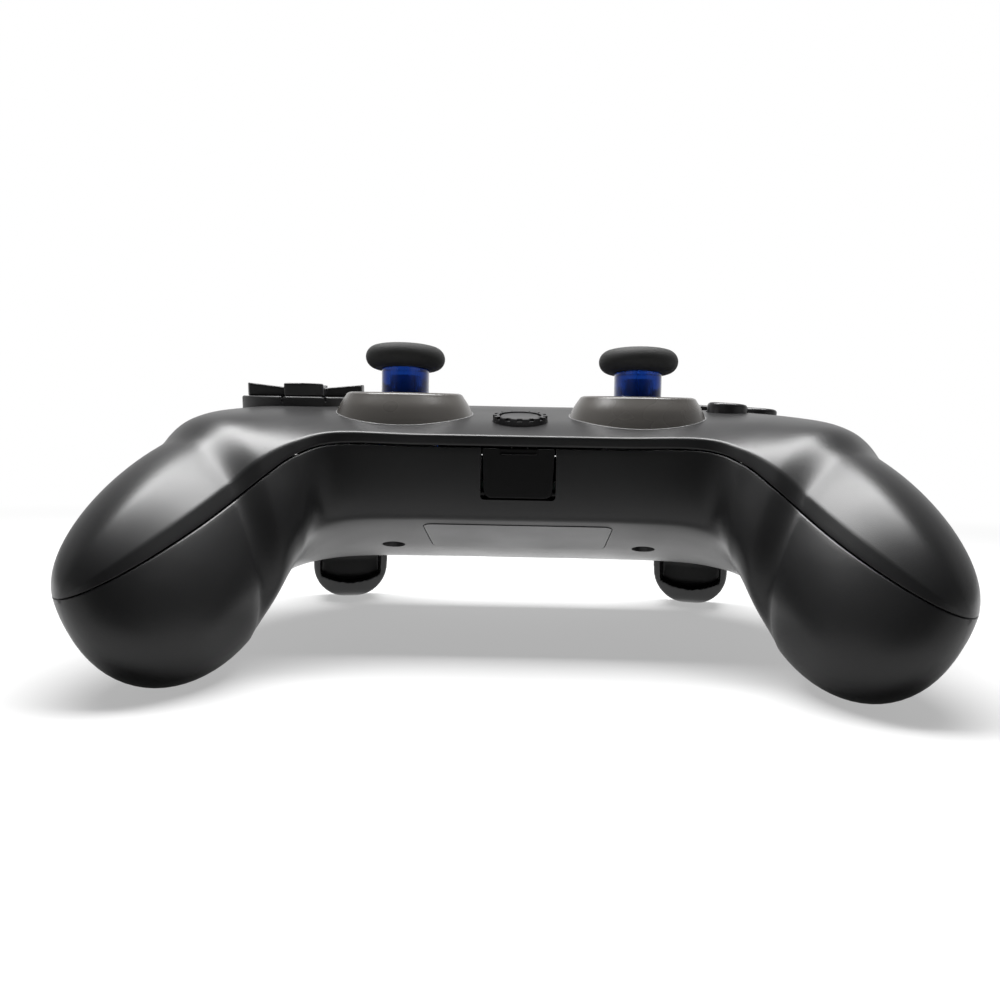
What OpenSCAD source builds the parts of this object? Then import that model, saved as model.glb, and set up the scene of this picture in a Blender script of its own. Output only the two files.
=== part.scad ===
// Gamepad controller, built as separate pieces that come apart on a bench.
// Millimetres. +X is the user's right, +Y points away from the user, +Z is up.
// The pad lies as in the photograph, on both grip ends and both triggers.
// y = 0 is the row of the two sticks, z = 0 is the table.

/* [Body] */
// Half of the greatest width, at the outer seam
body_half_w = 84.5; // [83:0.5:87]
// Stick row to the front wall
front_y = 22; // [21.5:0.5:23]
// Stick row to the back wall
back_y = 46; // [45.5:0.5:48]
// Height of the parting line in the middle
seam_z = 45.8; // [45.4:0.2:46.4]
// Rise of the deck above the parting line
deck_h = 14; // [13.8:0.2:14.6]
// Drop of the belly below the parting line
belly_d = 30; // [29:0.5:31]
// Half length of the straight middle stretch
flat_half = 22; // [20:0.5:24]
// Wall of both shells
wall = 2.2; // [1.8:0.1:2.4]
// Parting gap between the shells
seam_gap = 0.3; // [0.2:0.05:0.5]

/* [Grips] */
// Length of the rounded grip end
grip_reach = 33; // [31:0.5:34]
// Depth of the grip below its seam
grip_d = 28.4; // [27.5:0.1:29]
// Crown of the grip above its seam
grip_h = 13; // [12:0.1:13.5]

/* [Sticks] */
// Stick row: centre of the pad to each stick
stick_x = 28.25; // [27.5:0.25:29]
// Height of the stick's pivot above the parting line
pivot_up = 2; // [1.6:0.2:2.4]
// Radius of the see-through stem
stem_r = 5.7; // [5.4:0.1:6]
// Radius of the rubber cap
cap_r = 9.5; // [8.8:0.1:10.5]
// Height of the rubber cap
cap_h = 5.4; // [5:0.2:6]
// Radius of the hole in the surround
surround_hole_r = 11; // [10.9:0.1:11.3]

/* [Direction pad] */
// Centre of the pad to the direction pad
dpad_x = 58.2; // [57:0.2:60]
// Stick row to the direction pad
dpad_y = 19; // [18:0.5:20]
// Radius of the raised disc
dpad_disc_r = 16.5; // [15.5:0.25:17]
// Centre of the cross to the end of an arm
dpad_arm = 15; // [14:0.25:15.5]
// Width of an arm
dpad_arm_w = 9.5; // [8:0.25:10]

/* [Face buttons] */
// Centre of the pad to the button group
face_x = 53.2; // [52.5:0.1:55]
// Stick row to the button group
face_y = 22; // [21.5:0.25:22.5]
// Centre of the group to each button
face_pitch = 11.5; // [11:0.25:11.75]
// Radius of a button
face_r = 5; // [4.5:0.1:5.2]

/* [Deck buttons] */
// Radius of the home button
home_r = 4.6; // [4.3:0.1:4.8]
// Length of a menu button
menu_l = 9; // [8:0.25:11]
// Width of a menu button
menu_w = 4; // [3.5:0.1:5]

/* [Shoulders] */
// Width of a trigger
trigger_w = 22; // [20:0.5:22.5]
// Length of a bumper
bumper_l = 27; // [25:0.5:28]
// Radius of a trigger's pin
pin_r = 1.5; // [1.2:0.1:1.7]

/* [Front cover] */
// Width of the cover in the front wall
cover_w = 15.5; // [13:0.5:17]
// Height of the cover
cover_h = 10.6; // [9:0.2:11]

/* [Fits] */
// Gap round a moving piece
gap = 0.3; // [0.25:0.05:0.35]
// Running clearance of a pin in its hole, on the radius
run = 0.05; // [0.03:0.01:0.08]

/* [Hidden] */
$fn = 72;

// Inner seam of the grip, from the middle
grip_in = 55;
// Circles of the pad's feet and of the posts that carry its disc
dpad_leg = 9.6;
dpad_post = 9.8;
// Shoulder of the back wall: it follows the wider of the two button groups on the deck
shoulder_x = max(dpad_x - 1.2, face_x + 3.8);
// Height in the belly or the deck at a share of its drop or rise
function belly_z(share) = seam_z - belly_d * share;
function deck_z(share) = seam_z + deck_h * share;

// Sections of the right half, from the middle to the grip:
// inner seam x y z, outer seam x y z, rise, drop, lean in degrees, share of the grip profile
stations = [
  [0, -front_y, seam_z, 0, back_y, seam_z, deck_h, belly_d, 0, 0],
  [flat_half, -front_y, seam_z, flat_half, back_y, seam_z, deck_h, belly_d, 0, 0],
  [flat_half + 17, -front_y - 0.6, seam_z, shoulder_x, back_y - 2, seam_z - 0.4,
    deck_h - 0.2, belly_d, 0, 0.15],
  [grip_in - 9, -front_y - 5, seam_z - 2.7, mix(shoulder_x, body_half_w, 0.855), back_y - 25, seam_z - 3.4,
    deck_h - 1.1, belly_d - 0.5, 4, 0.55],
  [grip_in - 4.5, -front_y - 9.5, seam_z - 7, body_half_w, back_y - 48, seam_z - 9.8,
    grip_h + 1.2, grip_d + 0.2, 5, 0.85],
  [grip_in, -front_y - 14.5, seam_z - 12.2, body_half_w - 1.5, back_y - 64, seam_z - 16,
    grip_h, grip_d, 6, 1]
];
grip_axis = [6.4, -29.4, -13.9];
// Control points across a section: 0 to 1 from inner to outer seam, then rise or drop
body_top = [[0, 0.16], [0.10, 0.36], [0.34, 0.62], [0.66, 0.95], [0.99, 0.97], [1, 0]];
grip_top = [[0.03, 0.26], [0.13, 0.60], [0.32, 0.99], [0.70, 1.10], [1, 0.60], [1, 0]];
body_low = [[1, 0], [1, -0.55], [0.93, -1], [0.55, -0.95], [0.05, -0.55], [-0.005, -0.47], [0, 0]];
grip_low = [[1, 0], [0.91, -0.36], [0.56, -0.88], [0.28, -1.08], [-0.06, -0.93], [-0.16, -0.45], [0, 0]];
// Steps of the loft along one station, round a grip end, and along one control point
ring_steps = 3;
end_steps = 6;
row_steps = 3;

// Boards, battery and middle frame
board_half_w = 49;
board_front = 17;
battery_w = 54;
battery_y = [5, 33];
frame_w = 70;
frame_y = [-8, 33];
board_z = seam_z - 9;
board_top = board_z + 1.6;
pad_board_z = seam_z - 1.2;
pad_board_top = pad_board_z + 1.2;
frame_z = board_z - 2.6;

// Stick sizes, measured from the pivot
pivot_z = seam_z + pivot_up;
skirt_r = 12;
skirt_edge = 66;
stem_top = 17.2;
post_r = 2.5;
post_top = 14.6;
bail_h = 4.4;
module_w = 16;
module_wall = 1.4;
trunnion_r = 1.5;
cross_pin_r = 1;

// Surround: tilt towards the user, radius and height of its outside, from the mouth to under the deck
surround_tilt = 6;
surround_z = pivot_z + 11.6;
surround_low = -9.4;
surround_side = [[12.9, 0], [13.7, -0.3], [14.2, -0.95], [15.5, -3], [16.5, -5.4], [17.3, -7.8],
  [17.8, surround_low]];

// Direction pad: height of the disc's middle and its tilt towards the user; heights from there
dpad_top = deck_z(1) + 0.2;
dpad_tilt = 6;
dpad_pivot = -6;
dpad_low = -9;
dpad_lift = 1.25;
// Turn of the cross's arms on the disc
dpad_turn = 14;

// Face buttons: directions from the group's centre, height of the tops there and tilt of the group
face_places = [[0, -1], [1, 0], [0, 1], [-1, 0]];
face_top = deck_z(1) + 0.3;
face_tilt = [4, 4, 0];

home_at = [0, -9, deck_z(0.457)];
home_tilt = 14;
menu_at = [22, 26, deck_z(1) + 0.1];

// Shoulder frame: the chord of the back wall that carries trigger and bumper
shoulder_at = [shoulder_x - 5, back_y - 3.3, 0];
shoulder_turn = -15.7;
wall_bulge = 2.5;
wall_arc = 38;
bumper_low = seam_z + 1;
bumper_top = bumper_low + 4.8;
bumper_pivot = [-12, -3];
trigger_pivot_z = seam_z - 9.3;
trigger_pivot = [-3.5, trigger_pivot_z];
trigger_back = [[-3.5, trigger_pivot_z + 2.5], [2.5, trigger_pivot_z + 5.9], [8.5, trigger_pivot_z + 3],
  [11, trigger_pivot_z - 6.5], [11.2, 20], [11.4, 11], [13.3, 5], [12.8, 1], [9.4, 0.06]];
trigger_front = [[9.4, 0.06], [5.6, 0.4], [3, 5], [0.6, 12], [-2.2, 20], [-4.8, trigger_pivot_z - 9.5],
  [-5.5, trigger_pivot_z - 4.5], [-3.5, trigger_pivot_z - 2.5]];
trigger_tip_r = trigger_w / 2;
// Hollow of a trigger: seen from the side, and the curve of its lip seen from the front
hollow_top = trigger_pivot_z - 5.1;
trigger_hollow = [
  [-30, 2], [6.4, 2], [8.4, 7], [9, 12], [8.9, 22], [8.4, hollow_top - 3.4], [5.5, hollow_top],
  [-30, hollow_top]];
trigger_wall = 2;
lip_r = 16.5;
lip_z = 5.4;

cover_low = seam_z - 10.9;
cover_t = 2;
cover_y = -front_y - 0.1;
cover_axis = [cover_y + 1, cover_low + 1];
cover_pin_r = 0.6;

label_at = [0, -7.5, belly_z(0.681)];
label_tilt = -atan(0.0119 * belly_d);
label_w = 42;
label_l = 20;

// Screws: place, height of the head's seat, height of the tip
front_screw = [30.6, 0, belly_z(0.6734), frame_z + 1.6];
grip_screw = [(grip_in + body_half_w) / 2 - 3.75, -8, belly_z(0.9934), seam_z - 7.8];
screw_r = 1.2;
boss_z = seam_z - 16.8;
head_r = 2.4;
motor_at = [(grip_in + body_half_w) / 2 - 0.25, -27, seam_z - 25.8];
motor_r = 9;

// Curves and the loft

function mix(a, b, k) = a + (b - a) * k;
function bend(a, c, b, f) = (1 - f) * (1 - f) * a + 2 * f * (1 - f) * c + f * f * b;

// Smooth curve that starts and ends on its control points
function spline(c, steps) = let (n = len(c)) concat([c[0]], [
  for (i = [1:n - 2], j = [1:steps])
    let (a = i == 1 ? c[0] : (c[i - 1] + c[i]) / 2, b = i == n - 2 ? c[n - 1] : (c[i] + c[i + 1]) / 2)
      bend(a, c[i], b, j / steps)
]);

// Station values at any place along the body
// Row after the last section: both seams run on along the grip, so that the end cap follows smoothly
function row_after(p1, p2) = let (
  a = grip_axis / norm(grip_axis),
  near = norm([for (i = [0:2]) p2[i] - p1[i]]),
  far = norm([for (i = [3:5]) p2[i] - p1[i]])
) [for (i = [0:9]) p1[i] + (i < 3 ? 2 * near * a[i] : i < 6 ? 2 * far * a[i - 3] : 0)];

function station(u) = let (
  n = len(stations) - 1,
  i = min(floor(u), n - 1),
  f = u - i,
  p1 = stations[i],
  p2 = stations[i + 1],
  p0 = i > 0 ? stations[i - 1] : 2 * p1 - p2,
  p3 = i + 2 <= n ? stations[i + 2] : row_after(p1, p2)
) 0.5 * (2 * p1 + (p2 - p0) * f + (2 * p0 - 5 * p1 + 4 * p2 - p3) * f * f
  + (3 * p1 - p0 - 3 * p2 + p3) * f * f * f);

// Row moved inwards by the wall; its two ends move straight across
function inset(p, w, d) = let (n = len(p)) [
  for (i = [0:n - 1])
    let (t = p[min(i + 1, n - 1)] - p[max(i - 1, 0)], m = [t[1], -t[0]] / norm(t))
      i == 0 || i == n - 1 ? p[i] + [p[i][0] < w / 2 ? d : -d, 0] : p[i] + m * d
];

// One ring of a shell in space: top or bottom, outside (d = 0) or inside (d = wall)
function ring(u, is_top, d) = let (
  n = len(stations) - 1,
  r = station(min(u, n)),
  turn = max(0, u - n) * 90,
  si = [r[0], r[1], r[2]],
  so = [r[3], r[4], r[5]],
  w = norm(so - si),
  a = (so - si) / w,
  up = [0, -sin(r[8]), cos(r[8])],
  b0 = up - a * (up * a),
  b = b0 / norm(b0),
  k = min(1, max(0, r[9])),
  c = is_top ? mix(body_top, grip_top, k) : mix(body_low, grip_low, k),
  row = is_top ? concat([[0, 0]], spline(c, row_steps)) : spline(c, row_steps),
  h = is_top ? r[6] : r[7],
  flat = [for (q = row) [q[0] * w, q[1] * h]],
  line = d == 0 ? flat : inset(flat, w, d),
  middle = (si + so) / 2,
  lift = b * (is_top ? seam_gap / 2 : -seam_gap / 2),
  shift = grip_axis / norm(grip_axis) * (grip_reach - d) * sin(turn)
) [for (q = line) middle + (si + a * q[0] + b * q[1] - middle) * cos(turn) + shift + lift];

// Rings from the left grip end to the right one, without the two end points
half_us = concat([for (i = [0:ring_steps * (len(stations) - 1)]) i / ring_steps],
  [for (i = [1:end_steps - 1]) len(stations) - 1 + i / end_steps]);
function flip(ring_points) = [for (q = ring_points) [-q[0], q[1], q[2]]];
function all_rings(is_top, d) = concat(
  [for (i = [len(half_us) - 1:-1:1]) flip(ring(half_us[i], is_top, d))],
  [for (u = half_us) ring(u, is_top, d)]);

// Hollow shell between an outer and an inner skin, closed along the seam
module shell(is_top) {
  outer = all_rings(is_top, 0);
  inner = all_rings(is_top, wall);
  rings = len(outer);
  per = len(outer[0]);
  tip = len(stations);
  end_out = ring(tip, is_top, 0)[0];
  end_in = ring(tip, is_top, wall)[0];
  ends = [[-end_out[0], end_out[1], end_out[2]], end_out, [-end_in[0], end_in[1], end_in[2]], end_in];
  points = concat([for (r = outer) each r], [for (r = inner) each r], ends);
  ends_at = 2 * rings * per;
  // Index of a point; the ring before the first and after the last is an end point
  function at(skin, i, j) = i < 0 ? ends_at + 2 * skin
    : i >= rings ? ends_at + 2 * skin + 1 : skin * rings * per + i * per + j;
  quads = [for (i = [-1:rings - 1]) each concat(
    [for (j = [0:per - 2]) [at(0, i, j), at(0, i, j + 1), at(0, i + 1, j + 1), at(0, i + 1, j)]],
    [for (j = [0:per - 2]) [at(1, i, j), at(1, i + 1, j), at(1, i + 1, j + 1), at(1, i, j + 1)]],
    [[at(0, i, 0), at(0, i + 1, 0), at(1, i + 1, 0), at(1, i, 0)],
      [at(0, i + 1, per - 1), at(0, i, per - 1), at(1, i, per - 1), at(1, i + 1, per - 1)]])];
  triangles = [for (q = quads) each concat(
    q[0] == q[1] || q[1] == q[2] || q[0] == q[2] ? [] : [[q[0], q[1], q[2]]],
    q[0] == q[2] || q[2] == q[3] || q[0] == q[3] ? [] : [[q[0], q[2], q[3]]])];
  polyhedron(points, triangles, convexity = 6);
}

// Small helpers

module both_sides() {
  children();
  mirror([1, 0, 0]) children();
}

module on_side(left) {
  mirror([left ? 1 : 0, 0, 0]) children();
}

module shoulder() {
  translate(shoulder_at) rotate([0, 0, shoulder_turn]) children();
}

module along_x(r, x0, x1, y, z) {
  translate([x0, y, z]) rotate([0, 90, 0]) cylinder(r = r, h = x1 - x0);
}

module along_y(r, y0, y1, x, z) {
  translate([x, y1, z]) rotate([90, 0, 0]) cylinder(r = r, h = y1 - y0);
}

module box(x, y, z) {
  translate([x[0], y[0], z[0]]) cube([x[1] - x[0], y[1] - y[0], z[1] - z[0]]);
}

module upright(x, y, r, z0, z1) {
  translate([x, y, z0]) cylinder(r = r, h = z1 - z0);
}

module oval(l, w) {
  square([l - w, w], center = true);
  for (s = [-1, 1]) translate([s * (l - w) / 2, 0]) circle(d = w);
}

function arc(cx, cy, r, a0, a1, n) =
  [for (i = [0:n]) let (a = mix(a0, a1, i / n)) [cx + r * cos(a), cy + r * sin(a)]];

module rounded_plate(w, l, r, t) {
  linear_extrude(t) polygon(concat(
    arc(w / 2 - r, l / 2 - r, r, 0, 90, 8), arc(r - w / 2, l / 2 - r, r, 90, 180, 8),
    arc(r - w / 2, r - l / 2, r, 180, 270, 8), arc(w / 2 - r, r - l / 2, r, 270, 360, 8)));
}

// Shells

module top_shell() {
  color("#232326") difference() {
    union() {
      shell(true);
      both_sides() upright(grip_screw[0], grip_screw[1], 3.2, boss_z + 0.2, seam_z + grip_h * 0.62);
      both_sides() shoulder()
        upright(bumper_pivot[0], bumper_pivot[1], 2.4, bumper_top + 1.2, deck_z(0.614));
      upright(face_x, face_y, 2.6, pad_board_top, deck_z(0.8));
    }
    both_sides() upright(grip_screw[0], grip_screw[1], screw_r + run, boss_z, grip_screw[3] + 2);
    both_sides() shoulder()
      upright(bumper_pivot[0], bumper_pivot[1], 1 + run, bumper_low, bumper_top + 2.4);
    both_sides() translate([stick_x, 0, surround_z]) rotate([surround_tilt, 0, 0]) surround_plug(gap / 2);
    at_dpad() upright(0, 0, dpad_disc_r + gap / 2, dpad_low - gap, 12);
    for (p = face_places) at_face(p) {
      upright(0, 0, face_r + gap, -10.6, 12);
      upright(0, 0, face_r + 0.8 + gap, -10.6, -6 + gap);
    }
    translate(home_at) rotate([home_tilt, 0, 0]) upright(0, 0, home_r + gap + 1.5, -12, 12);
    both_sides() translate([menu_at[0], menu_at[1], seam_z])
      linear_extrude(25) oval(menu_l + 2 * gap, menu_w + 2 * gap);
    both_sides() shoulder() bumper_bar(gap, bumper_low - 2.8, bumper_top + 0.6);
  }
}

module bottom_shell() {
  color("#202023") difference() {
    union() {
      shell(false);
      both_sides() {
        upright(38, -12, 2.5, belly_z(0.62), board_z);
        upright(38, 28, 2.5, belly_z(0.915), board_z);
        upright(front_screw[0], front_screw[1], 4.2, front_screw[2] - 1.6, frame_z - 6.2);
        upright(grip_screw[0], grip_screw[1], 4.2, grip_screw[2] - 2.4, boss_z);
        shoulder() for (s = [-1, 1]) translate([s * (trigger_w / 2 + 1.9), 0, trigger_pivot_z])
          box([-1, 1], [-7.5, -0.9], [-3.7, 3.7]);
        translate(motor_at) box([-3, 3], [-2, 3], [-13.8, -7.5]);
      }
    }
    both_sides() {
      translate([front_screw[0], front_screw[1], 0]) screw_hole(10, front_screw[2]);
      translate([grip_screw[0], grip_screw[1], 0]) screw_hole(0, grip_screw[2]);
      along_y(motor_r, motor_at[1] - 10, motor_at[1] + 10, motor_at[0], motor_at[2]);
      shoulder() {
        box([-trigger_w / 2 - 0.6, trigger_w / 2 + 0.6], [-9, 16], [8, seam_z - 3]);
        along_x(pin_r, -trigger_w / 2 - 3, trigger_w / 2 + 3, trigger_pivot[0], trigger_pivot[1]);
      }
    }
    box([-cover_w / 2 - gap, cover_w / 2 + gap], [-front_y - 4, -front_y + 4], [cover_low - 0.4, seam_z + 2]);
    along_x(cover_pin_r + run, -cover_w / 2 - 1.6, cover_w / 2 + 1.6, cover_axis[0], cover_axis[1]);
    box([-5, 5], [back_y - 4, back_y + 4], [board_top - 0.3, board_top + 3.6]);
    translate(label_at) rotate([label_tilt, 0, 0]) translate([0, 0, -6])
      rounded_plate(label_w + 0.4, label_l + 0.4, 2.2, 6.7);
  }
}

// Clear hole with a sunk seat for the head, cut upwards from the outside
module screw_hole(from, seat) {
  upright(0, 0, screw_r + 0.3, from, seat + 24);
  upright(0, 0, head_r + 0.4, from, seat);
}

module case_screw(p) {
  upright(p[0], p[1], head_r, p[2] - 1.7, p[2]);
  upright(p[0], p[1], screw_r, p[2] - 0.2, p[3]);
}

module case_screws() {
  color("#8c8c90") both_sides() {
    case_screw(front_screw);
    case_screw(grip_screw);
  }
}

module label_plate() {
  color("#4a4a4e") translate(label_at) rotate([label_tilt, 0, 0]) translate([0, 0, -0.1])
    rounded_plate(label_w, label_l, 2, 0.8);
}

// Sticks

// Solid of the surround's outside, grown by a clearance
module surround_plug(grow) {
  rotate_extrude() polygon(concat([[0, 3], [surround_side[0][0] + grow, 3]],
    [for (p = surround_side) [p[0] + grow, p[1]]], [[0, surround_low]]));
}

module stick_surround(left) {
  inside = [[15.8, surround_low], [15.2, -7.6], [13.9, -4.2], [12.4, -2.2], [surround_hole_r, -1.4],
    [surround_hole_r, -0.5], [surround_hole_r + 0.5, 0]];
  color("#3c3836") translate([left ? -stick_x : stick_x, 0, surround_z]) rotate([surround_tilt, 0, 0])
    rotate_extrude() polygon(concat(surround_side, inside));
}

module at_stick(left) {
  translate([left ? -stick_x : stick_x, 0, pivot_z]) children();
}

module stick_module(left) {
  h = module_w / 2;
  floor_z = board_top - pivot_z;
  color("#5b5f58") at_stick(left) difference() {
    union() {
      box([-h, h], [-h, h], [floor_z, -1.2]);
      for (s = [-1, 1]) translate([s * (h - module_wall / 2), 0, 0])
        box([-module_wall / 2, module_wall / 2], [-2.8, 2.8], [floor_z, 2.6]);
      box([-5, 5], [h, h + 3], [floor_z, -1.2]);
      box([h, h + 3], [-5, 5], [floor_z, -2.6]);
    }
    box([module_wall - h, h - module_wall], [module_wall - h, h - module_wall], [floor_z + 1.4, 5]);
    along_x(trunnion_r + run, -h - 1, h + 1, 0, 0);
  }
}

module stick_bail(left) {
  color("#b9b9ba") at_stick(left) difference() {
    union() {
      box([-5.2, 5.2], [-5.5, 5.5], [-bail_h / 2, bail_h / 2]);
      along_x(trunnion_r, -module_w / 2 + 0.1, module_w / 2 - 0.1, 0, 0);
    }
    box([-3.6, 3.6], [-4, 4], [-5, 5]);
    along_y(cross_pin_r + run, -6, 6, 0, 0);
  }
}

module stick_shaft(left) {
  color("#d8d8d6") at_stick(left) {
    along_y(3.2, -3.6, 3.6, 0, 0);
    along_y(cross_pin_r, -5.4, 5.4, 0, 0);
    upright(0, 0, post_r, 0, post_top);
    upright(0, 0, 1.5, -5.2, 0);
  }
}

function sphere_row(r, a0, a1, n) = [for (i = [0:n]) let (a = mix(a0, a1, i / n)) [r * sin(a), r * cos(a)]];

module stick_stem(left) {
  bore = post_r + run;
  foot = asin((stem_r + 0.6) / skirt_r);
  inner = skirt_r - 1.2;
  color("#1f3fa8") at_stick(left) rotate_extrude() polygon(concat(
    [[0, stem_top], [stem_r, stem_top], [stem_r, 11.3], [stem_r + 0.6, 11],
      [stem_r + 0.6, skirt_r * cos(foot)]],
    sphere_row(skirt_r, foot + 1, skirt_edge, 10),
    sphere_row(inner, skirt_edge, asin(4.6 / inner), 10),
    [[bore, 7], [bore, post_top + 0.8], [0, post_top + 0.8]]));
}

module stick_cap(left) {
  round_r = cap_h / 2;
  color("#161616") at_stick(left) translate([0, 0, stem_top]) rotate_extrude() polygon(concat(
    [[0, 0]], arc(cap_r - round_r, round_r, round_r, -90, 78, 22),
    [[cap_r - round_r - 1.5, cap_h - 0.5], [0, cap_h - 0.9]]));
}

// Direction pad

module at_dpad() {
  translate([-dpad_x, dpad_y, dpad_top]) rotate([dpad_tilt, 0, 0]) children();
}

module dpad_disc() {
  r = dpad_disc_r;
  color("#1d1d1f") difference() {
    union() {
      at_dpad() rotate_extrude() polygon([
        [r - 0.5, 0], [r, -0.5], [r, dpad_low], [r - 2, dpad_low], [r - 2, -3], [7.2, -3], [7.2, -8],
        [5.6, -8], [5.6, -1], [5.2, -1], [5.2, 0]]);
      for (a = [45:90:315]) translate([-dpad_x, dpad_y, 0]) rotate([0, 0, a])
        upright(dpad_post, 0, 1.4, pad_board_top, dpad_top - 1.4);
    }
    at_dpad() {
      for (a = [0:90:270]) rotate([0, 0, a]) {
        upright(dpad_leg, 0, 2.5, -9, 1);
        rotate([0, 0, dpad_turn])
          box([0, dpad_arm + 0.7], [-dpad_arm_w / 2 - 0.7, dpad_arm_w / 2 + 0.7], [-dpad_lift - 0.15, 1]);
      }
      along_x(0.7 + run, -6.6, 6.6, 0, dpad_pivot);
    }
  }
}

module dpad_gimbal() {
  color("#b9b9ba") at_dpad() translate([0, 0, dpad_pivot]) difference() {
    union() {
      upright(0, 0, 4.9, -1.1, 1.1);
      along_x(0.7, -6.4, 6.4, 0, 0);
    }
    upright(0, 0, 3.4, -3, 3);
    along_y(0.7 + run, -6, 6, 0, 0);
  }
}

// One bar of the cross, with both ends rising, along X
module dpad_bar() {
  top = dpad_lift + 1;
  translate([0, dpad_arm_w / 2, 0]) rotate([90, 0, 0]) linear_extrude(dpad_arm_w) polygon([
    [-dpad_arm - 1, 0], [dpad_arm + 1, 0], [dpad_arm + 1, top + 1.3], [4, top], [-4, top],
    [-dpad_arm - 1, top + 1.3]]);
}

module dpad_cross() {
  color("#1a1a1c") at_dpad() {
    intersection() {
      union() {
        rotate([0, 0, dpad_turn]) dpad_bar();
        rotate([0, 0, dpad_turn + 90]) dpad_bar();
      }
      upright(0, 0, dpad_arm, -1, 6);
    }
    upright(0, 0, 2.6, dpad_pivot - 1.4, dpad_lift + 0.5);
    along_y(0.7, -4.7, 4.7, 0, dpad_pivot);
    for (a = [0:90:270]) rotate([0, 0, a]) upright(dpad_leg, 0, 1.6, -7.9, dpad_lift + 0.5);
  }
}

module dpad_board() {
  color("#1f5a3a") upright(-dpad_x, dpad_y, dpad_leg + 2.1, pad_board_z, pad_board_top);
}

module dpad_mat() {
  color("#77777a") translate([-dpad_x, dpad_y, pad_board_top]) difference() {
    union() {
      upright(0, 0, dpad_leg + 2, 0, 0.9);
      for (a = [0:90:270]) rotate([0, 0, a]) upright(dpad_leg, 0, 1.9, 0, 4.2);
    }
    for (a = [45:90:315]) rotate([0, 0, a]) upright(dpad_post, 0, 1.4 + gap, -1, 2);
  }
}

// Face buttons

module at_face(p) {
  translate([face_x, face_y, face_top]) rotate(face_tilt)
    translate([p[0] * face_pitch, p[1] * face_pitch, 0]) children();
}

module face_button(i) {
  color("#1a1a1c") at_face(face_places[i]) rotate_extrude() polygon(concat([[0, 0.15]],
    arc(face_r - 0.9, -0.9, 0.9, 80, 0, 6), [[face_r, -6], [face_r + 0.8, -6], [face_r + 0.8, -6.8], [4, -6.8],
    [4, -8.5], [0, -8.5]]));
}

module face_board() {
  color("#1f5a3a") upright(face_x, face_y, 13.6, pad_board_z, pad_board_top);
}

module face_mat() {
  color("#77777a") translate([face_x, face_y, pad_board_top]) difference() {
    union() {
      upright(0, 0, 13.4, 0, 0.8);
      for (p = face_places) upright(p[0] * (face_pitch - 1.2), p[1] * (face_pitch - 1.2), 2.4, 0, 2.4);
    }
    upright(0, 0, 2.8, -1, 3);
  }
}

// Deck buttons

module home_button() {
  color("#17171a") translate(home_at) rotate([home_tilt, 0, 0]) rotate_extrude() polygon(concat(
    [[0, 1.4]], arc(home_r - 0.4, 1, 0.4, 90, 0, 5),
    [[home_r, -2.4], [home_r + 1, -2.4], [home_r + 1, -3.4], [2, -3.4], [2, -9], [0, -9]]));
}

module home_ring() {
  color("#101012") translate(home_at) rotate([home_tilt, 0, 0]) difference() {
    rotate_extrude() translate([home_r + gap, -1.4]) square([1.4, 3]);
    for (i = [0:13]) rotate([0, 0, (i + 0.5) * 360 / 14])
      box([home_r + gap + 0.5, home_r + 3], [-0.6, 0.6], [1, 3]);
  }
}

module menu_button(left) {
  color("#1a1a1c") translate([left ? -menu_at[0] : menu_at[0], menu_at[1], menu_at[2]]) {
    translate([0, 0, -5.4]) linear_extrude(5.4) oval(menu_l, menu_w);
    translate([0, 0, -6.2]) linear_extrude(0.8) oval(menu_l + 1.8, menu_w + 1.8);
    upright(0, 0, 1.5, board_top + 4.3 - menu_at[2], -6);
  }
}

// Boards and inner pieces

module main_board() {
  x = board_half_w;
  y = back_y - 4;
  half = [[0, -board_front], [x - 5, -board_front], [x - 5, 6], [x, 9], [x, y - 18],
    [x - 9, y - 9], [x - 23, y - 4.5], [8, y - 4.5], [8, y], [0, y]];
  outline = concat(half, [for (i = [len(half) - 2:-1:1]) [-half[i][0], half[i][1]]]);
  color("#1f5a3a") translate([0, 0, board_z]) linear_extrude(board_top - board_z) polygon(outline);
}

module push_switches() {
  color("#c9c9c4") {
    box([-2.6, 2.6], [-9.4, -4.2], [board_top, board_top + 3.6]);
    both_sides() box([menu_at[0] - 2.6, menu_at[0] + 2.6], [menu_at[1] - 2.6, menu_at[1] + 2.6],
      [board_top, board_top + 3]);
  }
}

module mid_frame() {
  color("#2a2a2c") difference() {
    union() {
      box([-frame_w / 2, frame_w / 2], frame_y, [frame_z, frame_z + 1.8]);
      both_sides() upright(front_screw[0], front_screw[1], 3.4, frame_z - 6.2, frame_z + 1);
    }
    both_sides() upright(front_screw[0], front_screw[1], screw_r + run, frame_z - 10, frame_z + 5);
    box([-10, 10], [10, 26], [frame_z - 1, frame_z + 3]);
  }
}

module battery() {
  color("#6d7178") box([-battery_w / 2, battery_w / 2], battery_y, [frame_z - 7.6, frame_z]);
}

module headset_jack() {
  color("#111113") difference() {
    box([-3.6, 3.6], [-19, -10.6], [board_top, board_top + 5.4]);
    along_y(1.8, -20, -12, 0, board_top + 2.7);
  }
}

module charge_socket() {
  color("#a9aaad") difference() {
    box([-4.5, 4.5], [back_y - 8, back_y - 0.4], [board_top, board_top + 3.2]);
    box([-4.1, 4.1], [back_y - 6.6, back_y + 1], [board_top + 0.4, board_top + 2.8]);
  }
  color("#111113") box([-3.4, 3.4], [back_y - 7, back_y - 1.6], [board_top + 1.25, board_top + 1.95]);
}

module rumble_motor(left) {
  color("#97989b") on_side(left) {
    along_y(motor_r, motor_at[1] - 7, motor_at[1] + 7, motor_at[0], motor_at[2]);
    along_y(1, motor_at[1] - 14.5, motor_at[1] - 6, motor_at[0], motor_at[2]);
  }
}

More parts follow.
